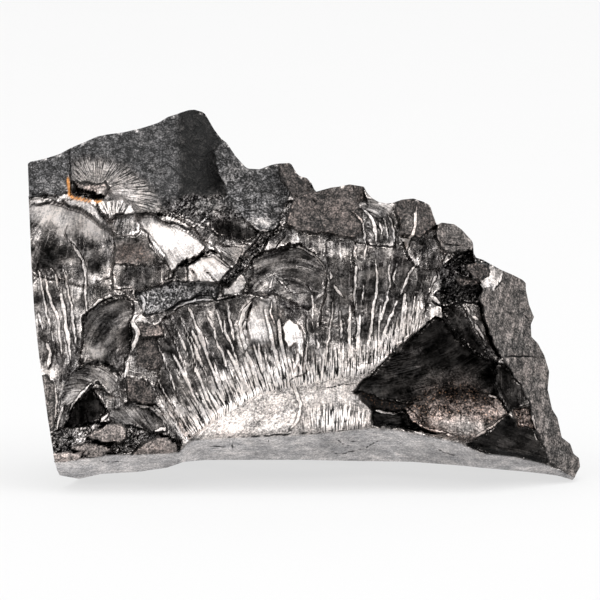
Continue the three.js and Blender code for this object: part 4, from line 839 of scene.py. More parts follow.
def lay_strokes(fields, strokes, line, rise, settings):
    """Ridges or cracks: near each route the depth changes by a tent whose width wanders. How far inside
    its stroke a point lies is kept in the named line, less where the stroke is worn away. rise is -1 for
    ridges and 1 for cracks."""
    for width, height, route in strokes:
        here = near_by(fields["x"], fields["z"], route, STROKE_REACH)
        x, z = fields["x"][here], fields["z"][here]
        warp_x, warp_z = fields["warp_x"][here], fields["warp_z"][here]
        apart, along = beside(x + 0.6 * (warp_x - x), z + 0.6 * (warp_z - z), route)
        taper = 0.35 + 0.65 * smooth(8 * along * (1 - along))
        girth = width * taper * (1 + 0.5 * clouds(x / 0.7, z / 0.7, 61))
        crest = np.clip(1 - apart / np.maximum(girth, FINEST), 0, 1)
        fields["depth"][here] += rise * crest * height * taper * settings.relief
        worn = 0.12 * smooth(-0.3 - clouds(x / 1.5, z / 1.5, 67))
        pointed = np.sqrt(np.clip(4 * along * (1 - along), 0, 1))
        shown = (0.03 + 0.52 * girth) * pointed - 0.04 * (1 - pointed)
        fields[line][here] = np.maximum(fields[line][here], shown - apart - worn)


def grain_face(fields):
    """The fine relief of the broken stone: glossy faces roll gently, matt ones are broken into small
    facets, and crumbly ground and worn dark edges into rougher ones."""
    x, z, gloss = fields["x"], fields["z"], fields["gloss"]
    worn_edge = smooth(1 + fields["edge"] / 0.45) * np.clip(0.7 - 0.7 * fields["tone"], 0.1, 1)
    fields["crumble"] = np.maximum(fields["crumble"], worn_edge)
    rolling = 0.4 * clouds(x / 3, z / 3, 83, 2) + 0.04 * clouds(x / 0.8, z / 0.8, 85)
    broken = 0.05 * facets(x / 0.9, z / 0.9, 81, 0.5) + 0.03 * clouds(x / 0.45, z / 0.45, 91)
    fields["depth"] += gloss * rolling
    fields["depth"] += (1 - gloss) * broken
    fields["depth"] += fields["crumble"] * 0.16 * facets(x / 0.42, z / 0.42, 87, 1.2)


def undercut_face(fields, settings):
    """The undercut: below the lip the depth grows by its slope times the way down, in one plain finish
    with no line but its own cracks."""
    x, z = fields["x"], fields["z"]
    lip = height_on(LIP, x)
    below = np.maximum(lip - z, 0)
    strip = broad_depth(x, lip) + UNDERCUT_SLOPE * below + 0.04 * clouds(x / 1.5, z / 1.5, 95)
    blend(fields, "depth", smooth(1 - (z - lip) / 0.5), strip)
    # A pale tone as a painted reflection of the table, varied by clouds and darker to the right.
    under = smooth(0.5 + (lip - z) / 0.1)
    brightness = 1 + 0.12 * clouds(x / 5, z / 1.5, 97) - 0.004 * x
    add_finish(fields, under, "undercut", brightness=brightness)
    # How strong the painted sheen is: as much as the gloss, less where the ground is combed.
    fields["sleek"] = fields["gloss"] * np.where(fields["comb"] > 0.3, 0.6, 1)
    swap(fields, "across", under, 2.5 * z + 0.1 * x)
    swap(fields, "along", under, 2 * x)
    for line in LINES:
        fields[line] = np.where(lip - z > 0.12, NO_LINE, fields[line])
    lay_strokes(fields, UNDERCUT_CRACKS, "crack", 1, settings)


def face_fields(x, z, settings):
    """Depth and finish of the show face at every x, z: the broad lie, then flakes, fan, patches of painted
    light and shade and of other finishes, ridges and cracks in that order, the bright chips of the top
    edge, partly a painted rim highlight, the rust, the fine grain, and the undercut below the lip. Edges
    follow x and z warped by clouds."""
    wobble = settings.edge_wobble / MM
    warp_x = x + wobble * (clouds(x / 1.5, z / 1.5, 31) + 0.6 * clouds(x / 0.5, z / 0.5, 33))
    warp_z = z + wobble * (clouds(x / 1.5, z / 1.5, 41) + 0.6 * clouds(x / 0.5, z / 0.5, 43))
    fields = dict(x=x, z=z, warp_x=warp_x, warp_z=warp_z)
    fields |= dict(depth=broad_depth(x, z), across=x.copy(), along=z.copy())
    fields |= {name: np.zeros(x.shape) for name in FINISH_VALUES}
    fields |= {name: np.full(x.shape, NO_LINE) for name in LINES}
    add_finish(fields, 1, "dark")
    for flake in FLAKES.values():
        strike_flake(fields, flake, settings)
    raise_fan(fields, settings)
    for px, pz, wide, high, strength, finish in PAINTED_LIGHT_AND_FINISH_PATCHES:
        off = np.hypot((x - px) / wide, (z - pz) / high) + 0.4 * clouds(x / 0.6, z / 0.6, 51)
        add_finish(fields, strength * smooth(1.3 - off), finish)
    lay_strokes(fields, RIDGES, "ridge", -1, settings)
    lay_strokes(fields, CRACKS, "crack", 1, settings)
    # Bright chips along the top edge, partly broken chips and partly a painted rim highlight.
    below_top = height_on(TOP_EDGE, x) - z
    chips_and_rim_highlight = smooth(1.4 - below_top / 0.25) * smooth(4 * clouds(x / 0.6, z / 0.6, 53) - 0.6)
    add_finish(fields, 0.6 * chips_and_rim_highlight, "crest")
    rim, _ = beside(x, z, RUST_LINE)
    fields["rust"] = smooth(1.3 - rim / 0.12) * smooth(1 + 1.3 * clouds(x / 0.7, z / 0.7, 69))
    grain_face(fields)
    undercut_face(fields, settings)
    return fields


# ---------------------------------------------------------------- the back

def dig(fields, ball, reached, finish, brightness, across, along, ripples=0):
    """One hollow of the back: where the surface lies deeper than a ball's near side, its depth becomes
    the ball's with its ripples, and its finish and the run of its streaks become the hollow's. Returns
    the mask of the hollow."""
    dug = np.where(reached, fields["depth"] - ball, -1)
    mask = smooth(0.5 + dug / 0.1)
    add_finish(fields, mask, finish, brightness=brightness)
    fields["edge"] = np.where(dug > -0.15, -2 * np.abs(dug), fields["edge"])
    swap(fields, "across", mask, across)
    swap(fields, "along", mask, along)
    fields["depth"] = np.where(dug > 0, ball + ripples, fields["depth"])
    return mask


def planes_at(x, z):
    """Depth of each of the back's planes at x, z: that at its point, and its slopes times the way there."""
    return [depth + turn * (x - px) + lean * (z - pz) for px, pz, depth, turn, lean in BACK_PLANES]


def back_fields(x, z, wander=0.5):
    """Depth and finish of the back: the nearest of its planes, each with a finish of its own whose bounds
    wander, hollowed by balls. A scar's ball stands off along its plane's normal, and has ripples round
    the point where it was struck and hackles towards its rim. Small facets break the whole."""
    planes = np.array(planes_at(x, z))
    nearest, second = np.sort(planes, axis=0)[:2]
    drift = wander * clouds(x / 2, z / 2, 133)
    shares = hashed(np.arange(len(planes)), 3, 7).reshape(-1, *[1] * x.ndim)
    fields = finish_table(BACK_FINISHES, (planes + drift * shares).argmin(axis=0))
    fields["depth"] = planes.min(axis=0)
    fields["across"], fields["along"] = x + 0.2 * z, z - 0.2 * x
    fields["edge"] = np.maximum(0.7 * (nearest - second), NO_LINE)

    for number, (px, pz, rim, hollow) in enumerate(BACK_SCARS):
        at = planes_at(px, pz)
        low = int(np.argmin(at))
        turn, lean = BACK_PLANES[low][3:]
        radius = (rim * rim + hollow * hollow) / (2 * hollow)
        stand = (radius - hollow) / math.sqrt(1 + turn * turn + lean * lean)
        cx, cy, cz = px - turn * stand, at[low] + stand, pz - lean * stand
        apart = np.hypot(x - cx, z - cz) + 0.3 * clouds(x / 1.8, z / 1.8, 135)
        struck_x, struck_z = px + 1.1 * rim * math.cos(px), pz + 0.9 * rim
        away = np.hypot(x - struck_x, z - struck_z)
        round_it = np.arctan2(x - struck_x, z - struck_z) * rim
        ball = cy - np.sqrt(np.maximum(radius**2 - apart**2, 0))
        ball = ball + 0.07 * combed(away, round_it, 1.1, 101)[0]
        ball = ball + 0.08 * combed(round_it, away, 0.8, 103)[0] * smooth(away / rim - 0.8)
        finish = SCAR_FINISHES[number % len(SCAR_FINISHES)]
        mask = dig(fields, ball, apart < radius, finish, 0.75, round_it, away)
        hackled = mask * smooth(away / rim - 1) * smooth(0.4 + 1.4 * clouds(x / 2.6, z / 2.6, 139))
        blend(fields, "comb", hackled, 0.5)

    for cx, cy, cz, radius in TOP_HOLLOWS:
        apart, away = np.hypot(x - cx, z - cz), np.hypot(x - cx, z - cz - 12)
        ball = cy - np.sqrt(np.maximum(radius**2 - apart**2, 0))
        ripples = 0.06 * combed(away, x, 1.4, 107)[0]
        dig(fields, ball, apart < radius, "dark", 0.7, away, x, ripples)

    fields["streaks"] *= 0.4
    fields["mottle"] *= 0.7
    fields["tone"] *= 0.9
    matt = 1 - fields["gloss"]
    fields["depth"] = fields["depth"] - matt * 0.25 * np.abs(facets(x / 3.1, z / 3.1, 111, 0.5))
    fields["depth"] = fields["depth"] - (0.03 + 0.1 * matt) * np.abs(facets(x / 1.1, z / 1.1, 121, 0.6))
    fields["depth"] = fields["depth"] - 0.1 * (1 + clouds(x / 2.4, z / 2.4, 131, 2))
    return fields


def bed_height(y):
    """Height of the bed plane at depth y."""
    return BED_RISE + y * math.tan(RECLINE)


def back_foot(x, z):
    """Depth and height at which the back comes down to the bed, or to the line x, z where that is higher:
    each depth gives a height on the bed, and that height gives the next depth."""
    y = back_fields(x, z, 0)["depth"]
    for _ in range(FOOT_GUESSES):
        y = back_fields(x, np.maximum(z, bed_height(y)), 0)["depth"]
    return y, np.maximum(z, bed_height(y))


# ---------------------------------------------------------------- the stone's skin

def grid_on_face(columns, rows, low_z=None):
    """x and z of a grid over the outline. Across, x runs evenly between the two sides; up, z runs from
    the low edge, or from low_z, to the top edge, with the lip on a row of its own."""
    u = np.linspace(0, 1, columns + 1)[None, :]
    v = np.linspace(0, 1, rows + 1)[:, None]
    (bottom_left, _), (bottom_right, _) = BOTTOM_EDGE[0], BOTTOM_EDGE[-1]
    (top_left, _), (top_right, _) = TOP_EDGE[0], TOP_EDGE[-1]
    bottom_x = bottom_left + (bottom_right - bottom_left) * u
    top_x = top_left + (top_right - top_left) * u
    low_z = height_on(BOTTOM_EDGE, bottom_x) if low_z is None else low_z
    top_z = height_on(TOP_EDGE, top_x)
    lip_z = np.maximum(height_on(LIP, bottom_x), low_z + 0.2)
    z = np.where(v < LIP_ROW, low_z + (lip_z - low_z) * v / LIP_ROW,
                 lip_z + (top_z - lip_z) * (v - LIP_ROW) / (1 - LIP_ROW))
    up = (z - low_z) / (top_z - low_z)
    x = bottom_x + (top_x - bottom_x) * up
    left_gap = side_on(LEFT_EDGE, z[:, :1]) - x[:, :1]
    right_gap = side_on(RIGHT_EDGE, z[:, -1:]) - x[:, -1:]
    return x + (1 - u) * left_gap + u * right_gap, z


def front_grid(settings):
    """The points of the show face, as rows up and columns across, and the values at them."""
    x, z = grid_on_face(settings.columns, settings.rows)
    fields = face_fields(x, z, settings)
    return np.stack([x, fields["depth"], z], -1), fields


def back_grid(front, settings):
    """The points of the back, one for every other one of the front each way, and the values at them. It
    keeps behind the face, and its lowest row lies on the bed."""
    foot_x = front[0, ::2, 0]
    foot_y, foot_z = back_foot(foot_x, front[0, ::2, 2])
    x, z = grid_on_face(settings.columns // 2, settings.rows // 2, foot_z)
    fields = back_fields(x, z)
    y = np.maximum(fields["depth"], broad_depth(x, z) + LEAST_DEPTH)
    y[0] = foot_y
    rim = np.ones(x.shape, bool)
    rim[1:-1, 1:-1] = False
    y = np.where(rim, np.maximum(y, front[::2, ::2, 1] + THINNEST), y)
    x[0], z[0] = foot_x, foot_z
    return np.stack([x, y, z], -1), fields


def wall_grid(near, far, inward, rows):
    """The points of a wall between a side of the front and the same side of the back: straight lines from
    one to the other, broken inwards by clouds and facets that fade out at the wall's four borders."""
    w = np.linspace(0, 1, rows + 1)[1:-1, None]
    wall = near + (far - near) * w[..., None]
    if not any(inward):
        inner = wall[:, 1:-1]
        inner[..., 2] = np.maximum(near[1:-1, 2], bed_height(inner[..., 1]))
        return wall
    along = np.linspace(0, 1, len(far))
    fade = smooth(8 * along * (1 - along)) * smooth(4 * w * (1 - w))
    px, pz = wall[..., 0] + 0.7 * wall[..., 1], wall[..., 2] - 0.6 * wall[..., 1]
    bite = 0.25 + 0.2 * clouds(px / 2.4, pz / 2.4, 141) + 0.5 * facets(px / 1.7, pz / 1.7, 151, 0.5)
    wall[..., 0] += inward[0] * fade * bite
    wall[..., 2] += inward[1] * fade * bite
    return wall


def wall_fields(x, y, z):
    """Finish of the walls: their broken cells take the finishes by turns, and the bed has its own."""
    under = z < bed_height(y) + 0.05
    _, _, i, j = cells((x * 0.5 + y) / WALL_CELL, (z - x * 0.3) / WALL_CELL, 181)
    turn = np.floor(hashed(i, j, 183) * (len(WALL_FINISHES) - 1)).astype(int)
    fields = finish_table(WALL_FINISHES, np.where(under, 0, 1 + turn))
    return fields | dict(across=y + 0.4 * x, along=z)


def quads(grid):
    """Two triangles for each cell of a grid of vertex numbers."""
    a, b, c, d = (part.ravel() for part in (grid[:-1, :-1], grid[:-1, 1:], grid[1:, 1:], grid[1:, :-1]))
    return np.concatenate([np.stack(corners, -1) for corners in ((a, b, c), (a, c, d))])


def zipper(fine, coarse):
    """Three triangles for each coarse step, joining a line of vertex numbers to one twice as fine."""
    f0, f1, f2 = fine[:-1:2], fine[1::2], fine[2::2]
    c0, c1 = coarse[:-1], coarse[1:]
    return np.concatenate([np.stack(corners, -1) for corners in ((f0, f1, c0), (f1, c1, c0), (f1, f2, c1))])


def stone_skin(settings):
    """The whole closed skin as points in face millimetres, triangles, and the values at each point. The
    front is a fine grid, the back one half as fine, and four walls join them."""
    front, ahead = front_grid(settings)
    back, behind = back_grid(front, settings)
    front_ids = np.arange(front[..., 0].size).reshape(front.shape[:2])
    back_ids = front_ids.size + np.arange(back[..., 0].size).reshape(back.shape[:2])
    points = [front.reshape(-1, 3), back.reshape(-1, 3)]
    faces = [quads(front_ids), quads(back_ids)[:, ::-1]]
    first_of_walls = offset = front_ids.size + back_ids.size
    for side, inward in SIDES:
        wall = wall_grid(front[side][::2], back[side], inward, settings.wall_rows)
        ids = offset + np.arange(wall[..., 0].size).reshape(wall.shape[:2])
        offset += ids.size
        points.append(wall.reshape(-1, 3))
        faces.append(zipper(front_ids[side], ids[0])[:, ::-1])
        faces.append(quads(np.concatenate([ids, back_ids[side][None]]))[:, ::-1])
    points = np.concatenate(points)
    faces = np.concatenate(faces)

    beside_them = wall_fields(*points[first_of_walls:].T)
    parts = [(ahead, front_ids.size), (behind, back_ids.size), (beside_them, offset - first_of_walls)]
    absent = dict.fromkeys((*FINISH_VALUES, "rust", "sleek", "across", "along"), 0.0)
    absent |= dict.fromkeys(LINES, NO_LINE)
    values = {}
    for name, missing in absent.items():
        runs = [np.ravel(fields.get(name, np.full(count, missing))) for fields, count in parts]
        values[name] = np.concatenate(runs)

    # Corner points that two walls share are one point, so the skin is closed.
    _, first, same = np.unique(np.round(points, 5), axis=0, return_index=True, return_inverse=True)
    faces = same.reshape(-1)[faces]
    distinct = (faces[:, 0] != faces[:, 1]) & (faces[:, 1] != faces[:, 2]) & (faces[:, 2] != faces[:, 0])
    return points[first], faces[distinct], {name: value[first] for name, value in values.items()}


def laid_down(points):
    """Face millimetres to metres on the bed: a turn back by the recline about x, then the shift."""
    x, y, z = points.T
    turned = np.stack([x, y * math.cos(RECLINE) + z * math.sin(RECLINE),
                       z * math.cos(RECLINE) - y * math.sin(RECLINE)], -1)
    return (turned + STONE_SHIFT) * MM


# ---------------------------------------------------------------- shaders

COLOUR_A, COLOUR_B, COLOUR_RESULT = 6, 7, 2  # the colour sockets of a Mix node, which share their names


class Wire:
    """One socket of a shader tree, on which Python's arithmetic adds Math nodes."""

    def __init__(self, tree, socket=None):
        self.tree = tree
        self.socket = socket

    def node(self, kind, settings=None, inputs=None, output=0):
        """Adds a node: its settings first, then a value or a wire for each socket it names."""
        made = self.tree.nodes.new(kind)
        for name, value in (settings or {}).items():
            setattr(made, name, value)
        for key, value in (inputs or {}).items():
            if isinstance(value, Wire):
                self.tree.links.new(value.socket, made.inputs[key])
            else:
                made.inputs[key].default_value = value
        return Wire(self.tree, made.outputs[output] if made.outputs else None)

    def math(self, operation, a, b=0.0):
        return self.node("ShaderNodeMath", {"operation": operation}, {0: a, 1: b})

    def __add__(self, other):
        return self.math("ADD", self, other)

    __radd__ = __add__

    def __sub__(self, other):
        return self.math("SUBTRACT", self, other)

    def __rsub__(self, other):
        return self.math("SUBTRACT", other, self)

    def __mul__(self, other):
        return self.math("MULTIPLY", self, other)

    __rmul__ = __mul__

    def __pow__(self, other):
        return self.math("POWER", self, other)

    def size(self):
        """The value without its sign."""
        return self.math("ABSOLUTE", self)

    def held(self, low=0.0, high=1.0):
        """The value, kept between low and high."""
        return self.math("MINIMUM", self.math("MAXIMUM", self, low), high)

    def step(self, low, high):
        """0 below low, 1 above high, smooth between."""
        return self.node("ShaderNodeMapRange", {"interpolation_type": "SMOOTHSTEP"},
                         {"Value": self, "From Min": low, "From Max": high})

    def attribute(self, name):
        """One of the values that the mesh carries at its points."""
        return self.node("ShaderNodeAttribute", {"attribute_type": "GEOMETRY", "attribute_name": name},
                         output="Fac")

    def scaled(self, factor):
        """A vector or colour times a number."""
        return self.node("ShaderNodeVectorMath", {"operation": "SCALE"}, {0: self, "Scale": factor})

    def mixed(self, factor, a, b):
        """A colour between a and b."""
        return self.node("ShaderNodeMix", {"data_type": "RGBA"}, {0: factor, COLOUR_A: a, COLOUR_B: b},
                         COLOUR_RESULT)

    def grain(self, scale, detail=3.0, rough=0.6):
        """Noise on a vector: scale is how many of its grains lie in one unit."""
        return self.node("ShaderNodeTexNoise", None,
                         {"Vector": self, "Scale": scale, "Detail": detail, "Roughness": rough})


def blank_sheet(owner):
    """The emptied node tree of a material or a world."""
    owner.use_nodes = True
    owner.node_tree.nodes.clear()
    return Wire(owner.node_tree)


def stone_material(settings):
    """Broken shungite, matt where its finish is dull and metallic where it is glossy. Tone, gloss, brown
    and rust come from the finish at each point. Mottling, veins and specks are noises in the stone's
    body, and streaks, a painted sheen and comb are noises drawn out along the run of each flake.
    Ridges, cracks and edges are drawn, a little ragged, where their distances pass a step: each ridge's
    crest as a painted highlight with a painted shadow at its foot, cracks and edge creases as painted
    shade, and painted glints beside the edges."""
    material = bpy.data.materials.new("broken shungite")
    sheet = blank_sheet(material)
    place = sheet.node("ShaderNodeTexCoord", output="Object").scaled(1 / MM)
    gloss, tone, brown, mottle, streaks, crumble, comb = (sheet.attribute(name) for name in FINISH_VALUES)
    ridge, crack, edge = (sheet.attribute(name) for name in LINES)
    rust, sleek = sheet.attribute("rust"), sheet.attribute("sleek")
    flow = sheet.node("ShaderNodeCombineXYZ", None,
                      {0: sheet.attribute("across"), 1: sheet.attribute("along") * 0.1, 2: 0.0})
    painted_sheen_flow = sheet.node("ShaderNodeVectorMath", {"operation": "MULTIPLY"}, {0: flow, 1: (1, 4, 1)})

    body = place.grain(1.5, 6.0, 0.72)
    cloud = place.grain(0.45)
    speck = place.grain(6.0, 2.0)
    vein = (place.grain(0.7, 5.0, 0.55) - 0.5).size().step(0.006, 0.03)
    streak = flow.grain(3.4, 3.0, 0.65)
    line = flow.grain(2.6, 1.0).step(0.54, 0.62)
    fine = flow.grain(7.0, 1.5)
    painted_sheen = painted_sheen_flow.grain(0.8, 2.0)
    bent = sheet.node("ShaderNodeVectorMath", {"operation": "ADD"}, {0: place, 1: place.grain(1.2)})
    pits = sheet.node("ShaderNodeTexVoronoi", None, {"Vector": bent, "Scale": 3.2})
    chips = sheet.node("ShaderNodeTexVoronoi", None, {"Vector": bent, "Scale": 5.5}, "Color")

    # Lines: a ridge's worn crest as a painted highlight with a painted shadow at its foot, cracks
    # and edge creases darkened as painted shade, and painted glints at edges.
    foot = ridge.step(-0.16, -0.04)
    ridge = (ridge + (streak - 0.5) * 0.16).step(-0.015, 0.03)
    crack = (crack + (body - 0.5) * 0.15).step(-0.02, 0.03)
    edge_shade = (edge + (body - 0.5) * 0.14).step(-0.13, -0.06) * cloud.step(0.42, 0.56)
    painted_glint = edge.step(-0.24, -0.18) * (1 - edge.step(-0.14, -0.1))
    painted_glint = painted_glint * speck.step(0.5, 0.62) * cloud.step(0.45, 0.6)

    # Brightness: the finish's tone times every grain's shade and the painted sheen, then the lines over it.
    shade = 1 + (body - 0.5) * mottle * 4.2 + (speck - 0.5) * (mottle * 2.4 + 0.5)
    shade = shade + (streak - 0.5) * streaks * 1.6 + (line - 0.25) * streaks * 0.7 + (cloud - 0.5) * 0.8
    shade = shade + (chips - 0.5) * crumble * 2.2 + (fine.step(0.44, 0.53) - 0.45) * comb * 1.3
    # A painted sheen: soft bright patches that stand in for reflections on glossy faces.
    shade = shade + (painted_sheen.step(0.4, 0.7) - 0.45) * sleek * 0.9
    shade = shade * (1 - (1 - vein) * mottle * 0.55) * (1 - edge_shade * 0.65) * (1 - foot * 0.4)
    value = tone * shade.held(0.12, 2.4)
    value = value + ridge * (0.9 * (0.25 + body * 0.9 + speck * 0.5) - value)
    value = value + painted_glint * (0.3 + gloss) * 0.5
    value = (value * (1 - crack * 0.85)).held(0.02, 0.97) ** DISPLAY_GAMMA
    gloss = gloss + (ridge + painted_glint).held() * (0.35 - gloss)

    # Colour: from cool through warm to brown, then the bronze specks and the rust.
    tinge = (brown + (cloud - 0.5) * 0.6 + (body - 0.5) * 0.5).held()
    tint = sheet.mixed((tinge * 2).held(), (*settings.cool, 1), (*settings.warm, 1))
    tint = sheet.mixed((tinge * 2 - 1).held(), tint, (*settings.brown, 1)).scaled(value)
    ember = (speck.step(0.58, 0.72) * brown.step(0.6, 1.0) * gloss).held()
    tint = sheet.mixed(ember, tint, (*settings.ember, 1))
    tint = sheet.mixed((rust * (0.4 + body)).held(), tint, (*settings.rust, 1))

    rough = settings.dullest - gloss * (settings.dullest - settings.shiniest) + (body - 0.5) * 0.3
    relief = body * mottle * 1.4 + speck * 0.35 * mottle + streak * streaks * 0.8 + line * streaks * 0.5
    relief = relief + fine * comb * 1.2 + pits * crumble * 1.6 + vein * mottle * 0.5
    bump = sheet.node("ShaderNodeBump", None, {"Strength": 1.0, "Distance": 0.08 * MM, "Height": relief})
    shader = sheet.node("ShaderNodeBsdfPrincipled", None, {
        "Base Color": tint,
        "Metallic": (gloss.step(0.1, 0.6) - rust).held(),
        "Roughness": rough.held(0.08, 0.9),
        "Normal": bump,
        "Specular IOR Level": 0.2,
    })
    sheet.node("ShaderNodeOutputMaterial", None, {"Surface": shader})
    return material


def table_material(settings):
    """A matt material with a faint cloudiness, lit a little from within."""
    material = bpy.data.materials.new("pale table")
    sheet = blank_sheet(material)
    place = sheet.node("ShaderNodeTexCoord", output="Object")
    dimmer = [0.97 * part for part in settings.table]
    pale = sheet.mixed(place.grain(30.0, 3.0, 0.5), (*dimmer, 1), (*settings.table, 1))
    shader = sheet.node("ShaderNodeBsdfPrincipled", None, {
        "Base Color": pale,
        "Roughness": 0.7,
        "Emission Color": (1, 1, 1, 1),
        "Emission Strength": settings.glow,
        "Specular IOR Level": 0.0,
    })
    sheet.node("ShaderNodeOutputMaterial", None, {"Surface": shader})
    return material


# ---------------------------------------------------------------- settings

class ShungiteStoneSettings(bpy.types.PropertyGroup):
    columns: IntProperty(
        name="Columns", description="Cells across the show face, an even number", default=400, min=20)
    rows: IntProperty(
        name="Rows", description="Cells up the show face, an even number", default=176, min=10)
    wall_rows: IntProperty(
        name="Wall rows", description="Cells from front to back of the rim", default=16, min=3)
    relief: FloatProperty(
        name="Relief", description="Height of ridges and ripples, against the sizes in their tables",
        default=0.7, min=0, max=2, subtype="FACTOR")
    edge_wobble: FloatProperty(
        name="Edge wobble", description="How far broken edges wander", default=0.17 * MM, min=0,
        precision=5, unit="LENGTH")
    shiniest: FloatProperty(
        name="Roughness of fresh faces", description="Roughness where the stone is glossiest",
        default=0.16, min=0, max=1, subtype="FACTOR")
    dullest: FloatProperty(
        name="Roughness of dull faces", description="Roughness where the stone is matt",
        default=0.62, min=0, max=1, subtype="FACTOR")
    cool: FloatVectorProperty(
        name="Cool tint", description="Tint of stone with no brown in it",
        default=(0.98, 0.96, 0.98), subtype="COLOR")
    warm: FloatVectorProperty(
        name="Warm tint", description="Tint of stone that is half brown",
        default=(1.0, 0.915, 0.865), subtype="COLOR")
    brown: FloatVectorProperty(
        name="Brown tint", description="Tint of weathered stone",
        default=(1.0, 0.81, 0.735), subtype="COLOR")
    ember: FloatVectorProperty(
        name="Bronze specks", description="Colour of the specks in glossy brown stone",
        default=(0.42, 0.22, 0.12), subtype="COLOR")
    rust: FloatVectorProperty(
        name="Rust", description="Colour of the stain round the pit",
        default=(0.72, 0.3, 0.07), subtype="COLOR")


class ShungiteStageSettings(bpy.types.PropertyGroup):
    table: FloatVectorProperty(
        name="Table", description="Colour of the table", default=(0.16, 0.16, 0.16), subtype="COLOR")
    glow: FloatProperty(
        name="Glow", description="Light that the table gives off", default=0.68, min=0, max=2,
        subtype="FACTOR")
    surround: FloatProperty(
        name="Surround", description="Brightness of the dim room that the stone reflects", default=0.09,
        min=0, max=2, subtype="FACTOR")
    ceiling: FloatProperty(
        name="Ceiling", description="How much brighter the room is overhead", default=0.35, min=0,
        max=2, subtype="FACTOR")
    backdrop: FloatProperty(
        name="Backdrop", description="Brightness of the pale backdrop", default=0.94, min=0, max=2,
        subtype="FACTOR")
    top_light: FloatProperty(
        name="Top light", description="Power of the softbox above", default=8.0, unit="POWER")
    side_light: FloatProperty(
        name="Side lights", description="Power of each softbox beside the stone", default=2.7,
        unit="POWER")
    back_light: FloatProperty(
        name="Back light", description="Power of the softbox behind the stone", default=2.0, unit="POWER")
    camera_distance: FloatProperty(
        name="Camera distance", description="From the camera to the face", default=0.9, unit="LENGTH")


# ---------------------------------------------------------------- the stone

class SHUNGITE_OT_stone(bpy.types.Operator):
    """Builds the stone over its solid"""
    bl_idname = "mesh.shungite_stone"
    bl_label = "Stone"

    def execute(self, context):
        settings = context.scene.shungite_stone
        points, faces, values = stone_skin(settings)
        mesh = bpy.data.meshes.new("stone")
        mesh.vertices.add(len(points))
        mesh.vertices.foreach_set("co", laid_down(points).astype(np.float32).ravel())
        mesh.loops.add(faces.size)
        mesh.loops.foreach_set("vertex_index", faces.astype(np.int32).ravel())
        mesh.polygons.add(len(faces))
        mesh.polygons.foreach_set("loop_start", np.arange(0, faces.size, 3, dtype=np.int32))
        mesh.update(calc_edges=True)
        if mesh.validate():
            raise RuntimeError("the stone's skin has faulty faces")
        for name, value in values.items():
            layer = mesh.attributes.new(name, "FLOAT", "POINT")
            layer.data.foreach_set("value", value.astype(np.float32))
        mesh.polygons.foreach_set("use_smooth", np.ones(len(faces), bool))
        mesh.set_sharp_from_angle(angle=SHARP_ANGLE)
        mesh.materials.append(stone_material(settings))
        stone = bpy.data.objects.new("stone", mesh)
        context.scene.collection.objects.link(stone)
        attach(stone, "root")
        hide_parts("shungite")
        return {"FINISHED"}


# ---------------------------------------------------------------- the stage, in metres

TABLE_RADIUS = 1.5
TABLE_SIDES = 64
LIGHT_TARGET = (0, 0, 0.015)  # the middle of the stone
# Softboxes: name, place, width and height, and the setting that holds the power.
SOFTBOXES = [
    ("top softbox", (0, -0.08, 0.6), (1.2, 0.9), "top_light"),
    ("left softbox", (-0.6, -0.2, 0.28), (0.7, 0.5), "side_light"),
    ("right softbox", (0.6, -0.2, 0.28), (0.7, 0.5), "side_light"),
    ("back softbox", (0, 0.6, 0.4), (0.8, 0.5), "back_light"),
]
SENSOR = 36.0  # width of the camera's sensor, in millimetres
CLIP = (0.01, 10)  # nearest and farthest that the camera sees
VIEW_WIDTH = 600 / 11 * MM  # across the view at the show face: 600 pixels, 11 to a millimetre
VIEW_CENTRE = (-0.318, 2.5, 16.36)  # middle of the view, in the frame of the face


def add_table(scene, settings):
    """A round flat table under the stone: points evenly round a circle, joined as one face."""
    around = np.linspace(0, 2 * np.pi, TABLE_SIDES + 1)[:-1]
    rim = TABLE_RADIUS * np.stack([np.cos(around), np.sin(around), 0 * around], -1)
    mesh = bpy.data.meshes.new("table")
    mesh.from_pydata(rim.tolist(), [], [list(range(TABLE_SIDES))])
    mesh.materials.append(table_material(settings))
    table = bpy.data.objects.new("table", mesh)
    scene.collection.objects.link(table)


def add_softbox(scene, name, place, size, power):
    """An area light at a place, turned to the stone and unseen by the camera."""
    data = bpy.data.lights.new(name, "AREA")
    data.shape = "RECTANGLE"
    data.size, data.size_y = size
    data.energy = power
    box = bpy.data.objects.new(name, data)
    box.location = place
    box.rotation_euler = (Vector(LIGHT_TARGET) - Vector(place)).to_track_quat("-Z", "Y").to_euler()
    box.visible_camera = False
    scene.collection.objects.link(box)


def add_room(scene, settings):
    """A room that is dim in reflections, brighter overhead, and pale where the camera sees it."""
    world = bpy.data.worlds.new("studio")
    sheet = blank_sheet(world)
    seen = sheet.node("ShaderNodeLightPath", output="Is Camera Ray")
    aim = sheet.node("ShaderNodeTexCoord", output="Generated")
    height = sheet.node("ShaderNodeSeparateXYZ", None, {0: aim}, "Z")
    room = settings.surround + height.step(-0.1, 1.0) * settings.ceiling
    level = room + seen * (settings.backdrop - room)
    shader = sheet.node("ShaderNodeBackground", None, {"Color": (1, 1, 1, 1), "Strength": level})
    sheet.node("ShaderNodeOutputWorld", None, {"Surface": shader})
    scene.world = world
    scene.view_settings.view_transform = "Standard"


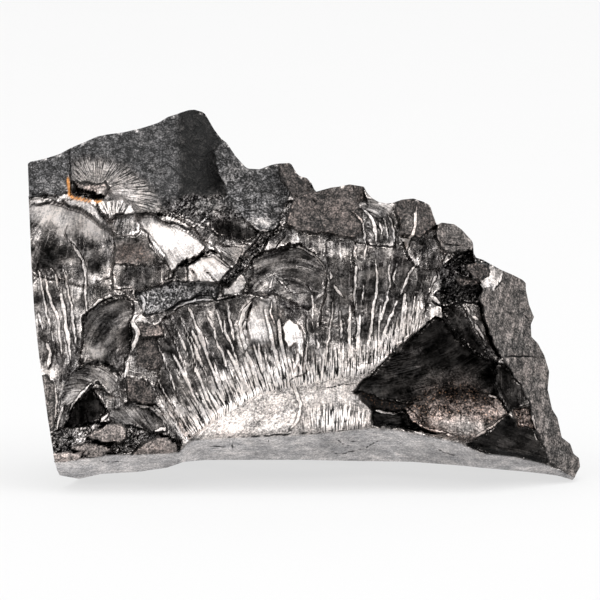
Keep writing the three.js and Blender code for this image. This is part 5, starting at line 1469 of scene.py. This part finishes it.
def add_camera(scene, settings):
    """A camera square on to the leaned-back face, with the view's width across its sensor there."""
    data = bpy.data.cameras.new("camera")
    data.sensor_width = SENSOR
    data.lens = SENSOR * settings.camera_distance / VIEW_WIDTH
    data.clip_start, data.clip_end = CLIP
    camera = bpy.data.objects.new("camera", data)
    away = np.array((0, -math.cos(RECLINE), math.sin(RECLINE))) * settings.camera_distance
    camera.location = laid_down(np.array([VIEW_CENTRE]))[0] + away
    camera.rotation_euler = (math.radians(90) - RECLINE, 0, 0)
    scene.collection.objects.link(camera)
    scene.camera = camera


class SHUNGITE_OT_stage(bpy.types.Operator):
    """Sets the pale table, the soft lights and the camera"""
    bl_idname = "scene.shungite_stage"
    bl_label = "Stage"

    def execute(self, context):
        settings = context.scene.shungite_stage
        add_table(context.scene, settings)
        for name, place, size, power in SOFTBOXES:
            add_softbox(context.scene, name, place, size, getattr(settings, power))
        add_room(context.scene, settings)
        add_camera(context.scene, settings)
        return {"FINISHED"}


# The panel's groups of settings, each with the operator that uses it.
PANEL_ROWS = [
    ("shungite_stone", "mesh.shungite_stone"),
    ("shungite_stage", "scene.shungite_stage"),
]


class SHUNGITE_PT_panel(bpy.types.Panel):
    """Lists the stone's and the stage's settings"""
    bl_idname = "SHUNGITE_PT_panel"
    bl_label = "Shungite Rock"
    bl_space_type = "VIEW_3D"
    bl_region_type = "UI"
    bl_category = "Shungite"

    def draw(self, context):
        for group, operator in PANEL_ROWS:
            column = self.layout.column()
            settings = getattr(context.scene, group)
            for name in settings.__annotations__:
                column.prop(settings, name)
            column.operator(operator)


CLASSES = (
    ShungiteStoneSettings, ShungiteStageSettings, SHUNGITE_OT_stone, SHUNGITE_OT_stage, SHUNGITE_PT_panel,
)


def register():
    for made in CLASSES:
        bpy.utils.register_class(made)
    bpy.types.Scene.shungite_stone = PointerProperty(type=ShungiteStoneSettings)
    bpy.types.Scene.shungite_stage = PointerProperty(type=ShungiteStageSettings)


def unregister():
    del bpy.types.Scene.shungite_stage
    del bpy.types.Scene.shungite_stone
    for made in reversed(CLASSES):
        bpy.utils.unregister_class(made)


def main():
    register()
    bpy.ops.mesh.shungite_stone()
    bpy.ops.scene.shungite_stage()


if __name__ == "__main__":
    main()
